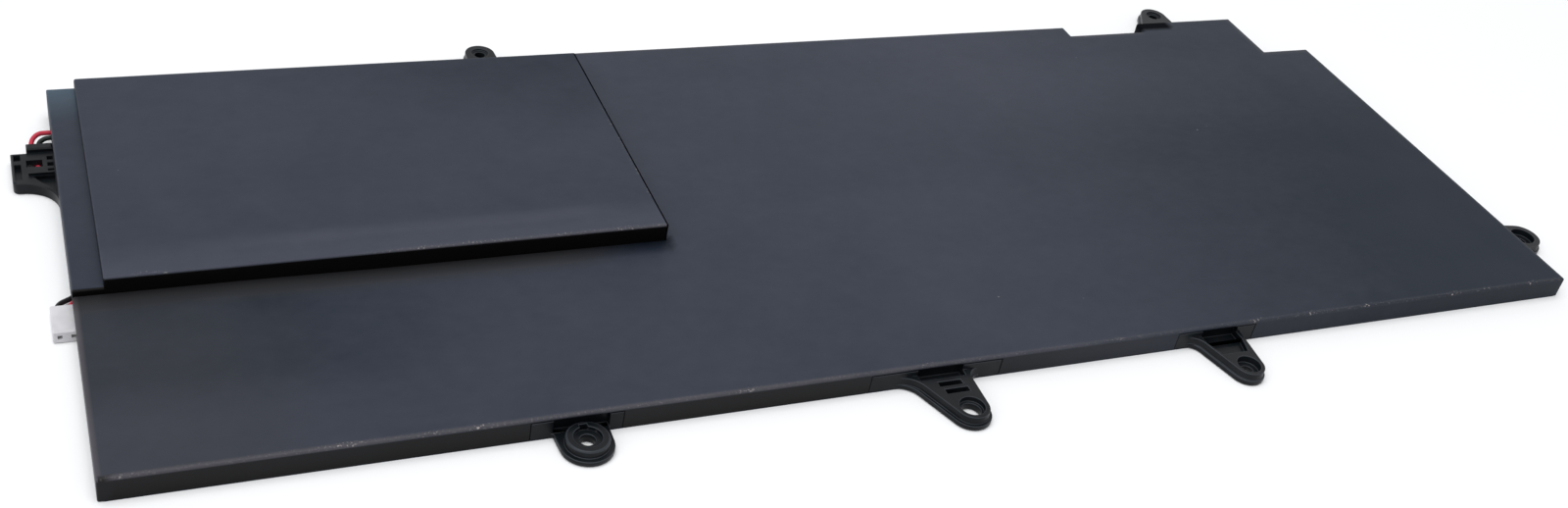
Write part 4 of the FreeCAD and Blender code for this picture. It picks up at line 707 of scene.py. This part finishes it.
# %% Store a mark, and tell the top and the front of a film
def mark(piece, name, value_of):
    """Store a value at each point of a piece, which its material reads by name."""
    layer = piece.data.attributes.new(name, "FLOAT", "POINT")
    for point, store in zip(piece.data.vertices, layer.data):
        store.value = value_of(point.co)


def near_top(p, high, below):
    """1 at a film's top and 0 on its walls. Below gives the two depths between which it rises."""
    return smooth_step(p.z, high.z - below[0], high.z - below[1])


def near_front(p, low, behind):
    """1 at a film's front edge and 0 farther back. Behind gives the two places between which it falls."""
    return falling(p.y, low.y + behind[0], low.y + behind[1])


# %% Slab film: painted sheen and shade, and hue
# Painted sheen pales the middle and back; painted shade darkens the left, right and block's foot.
MIDDLE_TINT = 0.62
RIGHT_SHADE, RIGHT_SHADE_X = 0.72, (10 * MM, 125 * MM)
LEFT_SHADE, LEFT_SHADE_X, LEFT_SHADE_Y = 0.42, (-118 * MM, -70 * MM), (-44 * MM, -30 * MM)
BACK_SHEEN, BACK_SHEEN_X, BACK_SHEEN_Y = 0.35, (10 * MM, 60 * MM), (-5 * MM, 35 * MM)
FOOT_PAINTED_SHADE, FOOT_PAINTED_SHADE_AHEAD = 0.5, (0.4 * MM, 5 * MM)
WARM_CORNER, WARM_CORNER_X, WARM_CORNER_Y = 0.3, (-125 * MM, -95 * MM), (-16 * MM, -8 * MM)
# The warm hue before the block's foot is painted shade.
WARM_FOOT_SHADE, WARM_FOOT_X, WARM_FOOT_AHEAD = 0.75, (-60 * MM, -44 * MM), (1 * MM, 7 * MM)


def slab_sheen_and_shade(p):
    """How pale the film is: painted sheen in the middle and back, painted shade at the left, right and
    foot.
    """
    left = falling(p.x, *LEFT_SHADE_X) * smooth_step(p.y, *LEFT_SHADE_Y)
    back = smooth_step(p.x, *BACK_SHEEN_X) * smooth_step(p.y, *BACK_SHEEN_Y)
    before_block = p.y < block_low.y + BEHIND_FOOT and p.x < block_high.x + BEHIND_FOOT
    foot = falling(block_low.y - p.y, *FOOT_PAINTED_SHADE_AHEAD) * before_block
    right = smooth_step(p.x, *RIGHT_SHADE_X)
    return MIDDLE_TINT - RIGHT_SHADE * right - LEFT_SHADE * left + BACK_SHEEN * back - FOOT_PAINTED_SHADE * foot


def slab_warmth_and_shade(p):
    """Where the film is less blue: over the front left corner, and as painted shade before the block's
    foot.
    """
    corner = falling(p.x, *WARM_CORNER_X) * falling(p.y, *WARM_CORNER_Y)
    foot = falling(block_low.y - p.y, *WARM_FOOT_AHEAD) * falling(p.x, *WARM_FOOT_X)
    return max(WARM_CORNER * corner, WARM_FOOT_SHADE * foot * (p.y < block_low.y + BEHIND_FOOT))


# %% Slab film: painted wall shade, fold highlight and deep shade
SLAB_WALL_BELOW, SLAB_FOLD_BELOW = (0.7 * MM, 0.4 * MM), (0.6 * MM, 0.3 * MM)
WALL_FADE_X = (-10 * MM, 60 * MM)  # the walls' painted shade fades to a quarter between these places
SCUFF, SCUFF_X, SCUFF_DEPTH = 0.9, (LEFT + 0.3 * MM, LEFT + 2.3 * MM), 0.5 * MM
FOLD_REACH, FOLD_FADE_X = (0.35 * MM, 0.9 * MM), (-30 * MM, 40 * MM)
CUT_SHADE, CUT_X = 0.9, (98.5 * MM, 107.5 * MM)  # painted shade before the back right lug, standing for a cut in the film
CUT_DEPTH, CUT_BELOW = 2.6 * MM, 0.9 * MM
FOOT_SHADE, FOOT_SHADE_AHEAD, FOOT_SHADE_PAST = 0.62, (0.2 * MM, 3.4 * MM), 0.5 * MM


def slab_wall_shade_and_scuff(p):
    """Painted shade on the walls, most of all at the left, and a scuff at the front left corner."""
    if SCUFF_X[0] < p.x < SCUFF_X[1] and p.y < FRONT + SCUFF_DEPTH:
        return SCUFF
    wall = 1 - near_top(p, slab_high, SLAB_WALL_BELOW)
    return wall * (1 - 0.75 * smooth_step(p.x, *WALL_FADE_X))


def rim_distance(x, y):
    """How far a point of the slab is inside its rim."""
    nearest = min(x - LEFT, RIGHT - x, y - FRONT, BACK - y, max(NOTCH_X - x, NOTCH_Y - y))
    if RECESS_X0 < x < RECESS_X1:
        nearest = min(nearest, RECESS_Y - y)
    return nearest


def slab_fold_highlight(p):
    """Painted highlight along the slab's upper fold: how near a point is to it, fainter towards the right.
    """
    rim_highlight = falling(rim_distance(p.x, p.y), *FOLD_REACH)
    rim_highlight *= 1 - 0.6 * smooth_step(p.x, *FOLD_FADE_X)
    return rim_highlight * near_top(p, slab_high, SLAB_FOLD_BELOW)


def slab_deep_shade(p):
    """Painted deep shade at the foot of the block's front wall, and before the back right lug."""
    at_back_edge = p.y > BACK - CUT_DEPTH and p.z > slab_high.z - CUT_BELOW
    if CUT_X[0] < p.x < CUT_X[1] and at_back_edge:
        return CUT_SHADE
    ahead = block_low.y - p.y
    if ahead < -BEHIND_FOOT or p.x > block_high.x + FOOT_SHADE_PAST:
        return 0.0
    return FOOT_SHADE * falling(ahead, *FOOT_SHADE_AHEAD)


# %% Slab film: wear along its front fold
SLAB_SPOTS = (  # the middle and the reach of each worn place, in millimetres along the pack
    (-134.9, 1.0), (-118, 0.5), (-104.5, 4.5), (-91.7, 1.6), (-84, 3.0), (-40, 1.4), (-8, 1.0),
    (31, 1.2), (62, 1.0), (74, 0.7), (88, 1.6), (97, 0.6), (109, 2.2), (118, 1.6), (129, 1.2),
)
FAINT_WEAR = 0.15
SLAB_WEAR_BELOW, SLAB_WEAR_BEHIND = (0.5 * MM, 0.2 * MM), (0.4 * MM, 0.9 * MM)


def near_spot(place, spots):
    """1 at the nearest of some spots along an edge, falling to 0 at its reach."""
    return max(falling(abs(place - x * MM), 0.3 * reach * MM, reach * MM) for x, reach in spots)


def slab_worn(p):
    """Where the slab's front fold has lost its black."""
    at_fold = near_top(p, slab_high, SLAB_WEAR_BELOW) * near_front(p, slab_low, SLAB_WEAR_BEHIND)
    return at_fold * max(FAINT_WEAR, near_spot(p.x, SLAB_SPOTS))


# %% Slab film: marks, thickness and finish
SLAB_MARKS = {
    "fold": slab_fold_highlight, "warm": slab_warmth_and_shade, "tint": slab_sheen_and_shade,
    "tight": slab_wall_shade_and_scuff, "worn": slab_worn, "line": slab_deep_shade,
}

for name, value_of in SLAB_MARKS.items():
    mark(slab_film, name, value_of)
close_sheet(slab_film)
slab_film.data.materials.append(FINISHES["dark_film"])
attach(slab_film, "root")
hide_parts("top_film")
print("slab film faces", len(slab_film.data.polygons))

# %% [markdown]
# Wrapping film of the raised block
#
# A second sheet covers the two cells that are stacked behind the board. It could be one piece with the
# slab's film, but on the real pack it is a sheet of its own, folded more tightly, with its foot on the
# slab's film. So it is made as the first one is, with a smaller fold and with soft dents in its walls.

# %% Block film: the sheet, its fold and its walls
BLOCK_STEP = 1.5 * MM
BLOCK_FOLD, BLOCK_FOLD_PARTS = 0.42 * MM, 4
SIDE_SHADOW_LINE = 0.5 * MM  # a grid line this far inside the right side ends the painted black shadow line
WALL_TOP = 0.7 * MM  # the walls start this far below the top
WALL_CUTS = (0.3, 0.55, 0.8)  # shares of the wall's height

cover_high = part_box("board_cover")[1]
left_stops = [block_low.x, block_low.x + FOLD_RIM]
right_stops = [block_high.x - FOLD_RIM, block_high.x - SIDE_SHADOW_LINE, block_high.x]
sheet_x = grid_lines(left_stops + right_stops, BLOCK_STEP)
stops = [block_low.y, block_low.y + FOLD_RIM, block_high.y - FOLD_RIM, block_high.y]
sheet_y = grid_lines(stops, BLOCK_STEP)
block_sheet = flat_sheet("block_sheet", sheet_x, sheet_y, block_high.z)
folds = fold_down(block_sheet, block_high.z, block_low.z, BLOCK_FOLD, BLOCK_FOLD_PARTS)
for part in WALL_CUTS:
    pick(block_sheet, "faces", lambda face, m: m.z < block_high.z - WALL_TOP)
    cut_selected(2, block_low.z + part * (block_high.z - WALL_TOP - block_low.z))
print("block film: folded edges", folds, "grid", len(sheet_x), "x", len(sheet_y))

# %% Block film: make room for the board cover
COVER_START = 0.7 * MM  # the cover starts this far behind the block's front
COVER_LAP = 0.1 * MM  # the film reaches this far below the cover's top

cut_level = cover_high.z - COVER_LAP
left_plane = block_low.x + ON_PLANE
pick(block_sheet, "faces", lambda face, m: m.x < left_plane)
cut_selected(2, cut_level)
delete_faces(block_sheet, (-FAR, block_low.y + COVER_START, -FAR), (left_plane, FAR, cut_level))
leave_edit()
print("faces", len(block_sheet.data.polygons))

# %% Block film: sink and dents
STACK_SINK, STACK_BLEND = 0.12 * MM, 8 * MM
BLOCK_WAVE_SINK, BLOCK_WAVE_GRAIN = 0.1 * MM, 40 * MM
BLOCK_RIPPLE_SINK, BLOCK_RIPPLE_GRAIN = 0.03 * MM, 8 * MM
DENT_DEPTH, DENT_GRAIN = 0.12 * MM, 7 * MM
NEAR_WALL = 0.05 * MM

stack_low, stack_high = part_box("stack_cell_upper")
for point in block_sheet.data.vertices:
    x, y, z = point.co
    height = (z - block_low.z) / (block_high.z - block_low.z)
    sink = STACK_SINK * inside_box(x, y, stack_low, stack_high, STACK_BLEND)
    waves = BLOCK_WAVE_SINK * wave(x, y, BLOCK_WAVE_GRAIN, 3.0)
    sink += waves + BLOCK_RIPPLE_SINK * wave(x, y, BLOCK_RIPPLE_GRAIN, 5.0)
    point.co.z -= sink * smooth_step(height, 0.1, 1.0)
    bulge = 0.5 + 0.5 * noise.noise(Vector((x, y, 3 * z)) / DENT_GRAIN)
    dent = DENT_DEPTH * bulge * smooth_step(1 - height, 0.05, 0.4)
    if y < block_low.y + NEAR_WALL:
        point.co.y += dent
    if x > block_high.x - NEAR_WALL:
        point.co.x -= dent
print("block film top", round(max(point.co.z for point in block_sheet.data.vertices) / MM, 2), "mm")

# %% Block film: painted sheen and shade, walls and the shadow line
# Painted sheen near the front edge, a painted highlight along a ridge, painted shade at the back right.
FRONT_SHEEN, FRONT_SHEEN_BEHIND = 0.4, (1 * MM, 10 * MM)
RIDGE_HIGHLIGHT, RIDGE_BEHIND, RIDGE_HALF = 0.22, 6.2 * MM, (0.4 * MM, 2.2 * MM)
RIDGE_START_X, RIDGE_END_X = (-128 * MM, -100 * MM), (-55 * MM, -46 * MM)
CORNER_SHADE, CORNER_SHADE_X, CORNER_SHADE_Y = 0.38, (-110 * MM, -45 * MM), (10 * MM, 45 * MM)
BLOCK_TINT = 0.56
BLOCK_WALL_BELOW, BLOCK_FOLD_BEHIND = (0.45 * MM, 0.25 * MM), (0.2 * MM, 0.7 * MM)
FAINT_FOLD_HIGHLIGHT, PALE_FOLD_HIGHLIGHT, PALE_FOLD_HIGHLIGHT_X = 0.12, 0.6, (-100 * MM, -82 * MM)
SHADOW_LINE_INSIDE = (0.98 * SIDE_SHADOW_LINE, 0.88 * SIDE_SHADOW_LINE)


def block_sheen_and_shade(p):
    """Painted sheen near the block's front edge, a painted highlight along a low ridge, shade at its back
    right.
    """
    front = near_front(p, block_low, FRONT_SHEEN_BEHIND)
    ridge = falling(abs(p.y - block_low.y - RIDGE_BEHIND), *RIDGE_HALF)
    ridge *= smooth_step(p.x, *RIDGE_START_X) * falling(p.x, *RIDGE_END_X)
    corner = smooth_step(p.x, *CORNER_SHADE_X) * smooth_step(p.y, *CORNER_SHADE_Y)
    return BLOCK_TINT + FRONT_SHEEN * front + RIDGE_HIGHLIGHT * ridge - CORNER_SHADE * corner


def block_wall_shade(p):
    """Painted shade on the block's walls, which are also glossier."""
    return 1 - near_top(p, block_high, BLOCK_WALL_BELOW)


def block_fold_highlight(p):
    """How near a point is to the block's upper front fold, where a painted highlight is paler at the
    right.
    """
    share = FAINT_FOLD_HIGHLIGHT + PALE_FOLD_HIGHLIGHT * smooth_step(p.x, *PALE_FOLD_HIGHLIGHT_X)
    return share * near_front(p, block_low, BLOCK_FOLD_BEHIND)


def block_shadow_line(p):
    """Painted shadow along the block's right side, as a black line."""
    return smooth_step(p.x, block_high.x - SHADOW_LINE_INSIDE[0], block_high.x - SHADOW_LINE_INSIDE[1])


# %% Block film: wear along its folds
BLOCK_SPOTS = (  # the middle and the reach of each worn place, in millimetres along the pack
    (-130.6, 0.5), (-128.3, 0.6), (-125.3, 0.5), (-83.7, 2.4), (-79.7, 0.5), (-75.9, 0.7),
    (-72.4, 1.6), (-66.1, 0.5), (-59.3, 1.4), (-48.1, 3.0),
)
SIDE_PLACES = (-0.9, 5.0, 8.9, 13.0, 15.7, 21.4, 26.7)  # millimetres along the right side
BLOCK_WEAR_BELOW, BLOCK_WEAR_BEHIND = (0.4 * MM, 0.15 * MM), (0.3 * MM, 0.8 * MM)
SIDE_WEAR_INSIDE, SIDE_SPOT = (0.8 * MM, 0.3 * MM), (0.3 * MM, 1.8 * MM)
LEAST_WEAR, MORE_WEAR, MORE_WEAR_X = 0.04, 0.26, (-95 * MM, -85 * MM)


def block_worn(p):
    """Where the block's front fold, and the fold at its right-hand side, have lost their black."""
    faint = LEAST_WEAR + MORE_WEAR * smooth_step(p.x, *MORE_WEAR_X)
    front = near_front(p, block_low, BLOCK_WEAR_BEHIND) * max(faint, near_spot(p.x, BLOCK_SPOTS))
    right = smooth_step(p.x, block_high.x - SIDE_WEAR_INSIDE[0], block_high.x - SIDE_WEAR_INSIDE[1])
    right *= max(falling(abs(p.y - y * MM), *SIDE_SPOT) for y in SIDE_PLACES)
    return near_top(p, block_high, BLOCK_WEAR_BELOW) * max(front, right)


# %% Block film: marks, thickness and finish
BLOCK_MARKS = {
    "fold": block_fold_highlight, "tint": block_sheen_and_shade, "tight": block_wall_shade,
    "worn": block_worn, "line": block_shadow_line,
}

for name, value_of in BLOCK_MARKS.items():
    mark(block_sheet, name, value_of)
close_sheet(block_sheet)
block_sheet.data.materials.append(FINISHES["dark_film"])
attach(block_sheet, "root")
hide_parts("block_film")
print("block film faces", len(block_sheet.data.polygons))

# %% [markdown]
# Moulded pieces with softened edges
#
# The lugs, the end bracket and the plug come out of a mould, and no moulded edge is knife-sharp. They
# could be modelled anew, but their shapes are already right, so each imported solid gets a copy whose
# points are merged and whose hard edges are bevelled. The light then catches the rims as it does on
# the real lugs. The bevel of the lugs isn't held back by their shortest edges, so it rounds all rims.

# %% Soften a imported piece
MERGE_REACH = 0.001 * MM
FLAT_ANGLE, SHADE_ANGLE = math.radians(0.8), math.radians(35)


def softened(node, width, angle=33.0, clamped=True):
    """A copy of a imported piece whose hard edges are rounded, which stands for the piece."""
    piece = bpy.data.objects.new(f"{node}_soft", frame["nodes"][node].data.copy())
    bpy.context.scene.collection.objects.link(piece)
    edit(piece)
    bpy.ops.mesh.select_all(action="SELECT")
    bpy.ops.mesh.remove_doubles(threshold=MERGE_REACH)
    bpy.ops.mesh.dissolve_limited(angle_limit=FLAT_ANGLE)
    leave_edit()
    rounding = piece.modifiers.new("soft edges", "BEVEL")
    rounding.width, rounding.segments = width, 2
    rounding.use_clamp_overlap = clamped
    rounding.limit_method, rounding.angle_limit = "ANGLE", math.radians(angle)
    bpy.ops.object.modifier_apply(modifier="soft edges")
    bpy.ops.object.shade_smooth_by_angle(angle=SHADE_ANGLE)
    weights = piece.modifiers.new("even shading", "WEIGHTED_NORMAL")
    weights.keep_sharp = True
    bpy.ops.object.modifier_apply(modifier="even shading")
    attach(piece, "root")
    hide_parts(node)
    return piece


# %% Mark the painted highlight on a lug's rims
RIM_TILT = 0.15  # rims that face up at least this much get the painted highlight


def mark_rim_highlights(piece, width):
    """Mark the narrow faces that the bevel made and that face up, where a highlight is painted lighter."""
    layer = piece.data.attributes.new("rim_highlight", "FLOAT", "FACE")
    for face, store in zip(piece.data.polygons, layer.data):
        corners = [piece.data.vertices[i].co for i in face.vertices]
        outline = sum((a - b).length for a, b in zip(corners, corners[1:] + corners[:1]))
        narrow = 2 * face.area / outline < width
        store.value = 1.0 if narrow and face.normal.z > RIM_TILT else 0.0


# %% Soften the lugs, the bracket, the cover and the plug
LUG_BEVEL, RIM_WIDTH = 0.11 * MM, 0.12 * MM
BRACKET_BEVEL, COVER_BEVEL, PLUG_BEVEL = 0.16 * MM, 0.2 * MM, 0.08 * MM
COVER_ANGLE = 50.0  # degrees, so that only the cover's square edges are rounded

soft_pieces = {}
for name in lug_boxes:
    soft_pieces[name] = softened(name, LUG_BEVEL, clamped=False)
    mark_rim_highlights(soft_pieces[name], RIM_WIDTH)
soft_pieces["end_bracket"] = softened("end_bracket", BRACKET_BEVEL)
soft_pieces["board_cover"] = softened("board_cover", COVER_BEVEL, COVER_ANGLE)
soft_pieces["plug_housing"] = softened("plug_housing", PLUG_BEVEL)
print({name: len(piece.data.polygons) for name, piece in soft_pieces.items()})

# %% [markdown]
# Round lug and board cover
#
# The round lug's hole is a deep tube in the photograph, so the ring of floor round it is raised. The
# lug could be cut anew, but moving the ring's points up keeps its bevels. The board cover is the same
# film as the rest, with a painted teal sheen towards its back and painted shade on its front walls. Its
# mesh has points at its ends only, so cuts across it give the colour room to change.

# %% Round lug: raise the seat round its hole
ROUND_LUG_HOLE = (-67.8 * MM, -55.8 * MM)
SEAT_LEVEL, SEAT_RISE, SEAT_REACH = 1.15 * MM, 0.6 * MM, 2.6 * MM
SEAT_BELOW, SEAT_ABOVE = 0.3 * MM, 0.05 * MM

raised = 0
for point in soft_pieces["front_lug_left"].data.vertices:
    away = math.hypot(point.co.x - ROUND_LUG_HOLE[0], point.co.y - ROUND_LUG_HOLE[1])
    if away < SEAT_REACH and SEAT_LEVEL - SEAT_BELOW < point.co.z < SEAT_LEVEL + SEAT_ABOVE:
        point.co.z += SEAT_RISE
        raised += 1
print("points of the seat raised", raised)

# %% Board cover: the same film, with a painted teal sheen towards its back
COVER_CUTS = (-4, 8, 20, 30, 36, 40, 44, 48, 51)  # millimetres along y
COVER_TINT = 0.42
TEAL_Y, TEAL_BELOW = (34 * MM, 50 * MM), (0.8 * MM, 0.2 * MM)
FRONT_FACING = -0.7  # a face is a front wall where its normal's y is below this

cover = soft_pieces["board_cover"]
edit(cover)
for place in COVER_CUTS:
    bpy.ops.mesh.select_all(action="SELECT")
    cut_selected(1, place * MM)
leave_edit()


def cover_teal_sheen(p):
    """How far a painted teal sheen spreads over the top towards the back of the cover's strip."""
    return smooth_step(p.y, *TEAL_Y) * near_top(p, cover_high, TEAL_BELOW)


mark(cover, "tint", lambda p: COVER_TINT)
mark(cover, "teal_sheen", cover_teal_sheen)
mark(cover, "tight", lambda p: 0.0)
# Painted shade: the cover's front walls are made near black.
front_walls = [face for face in cover.data.polygons if face.normal.y < FRONT_FACING]
for face in front_walls:
    for i in face.vertices:
        cover.data.attributes["tight"].data[i].value = 1.0
print("cover faces", len(cover.data.polygons), "of them front walls", len(front_walls))

# %% View settings
bpy.context.scene.view_settings.view_transform = "Standard"
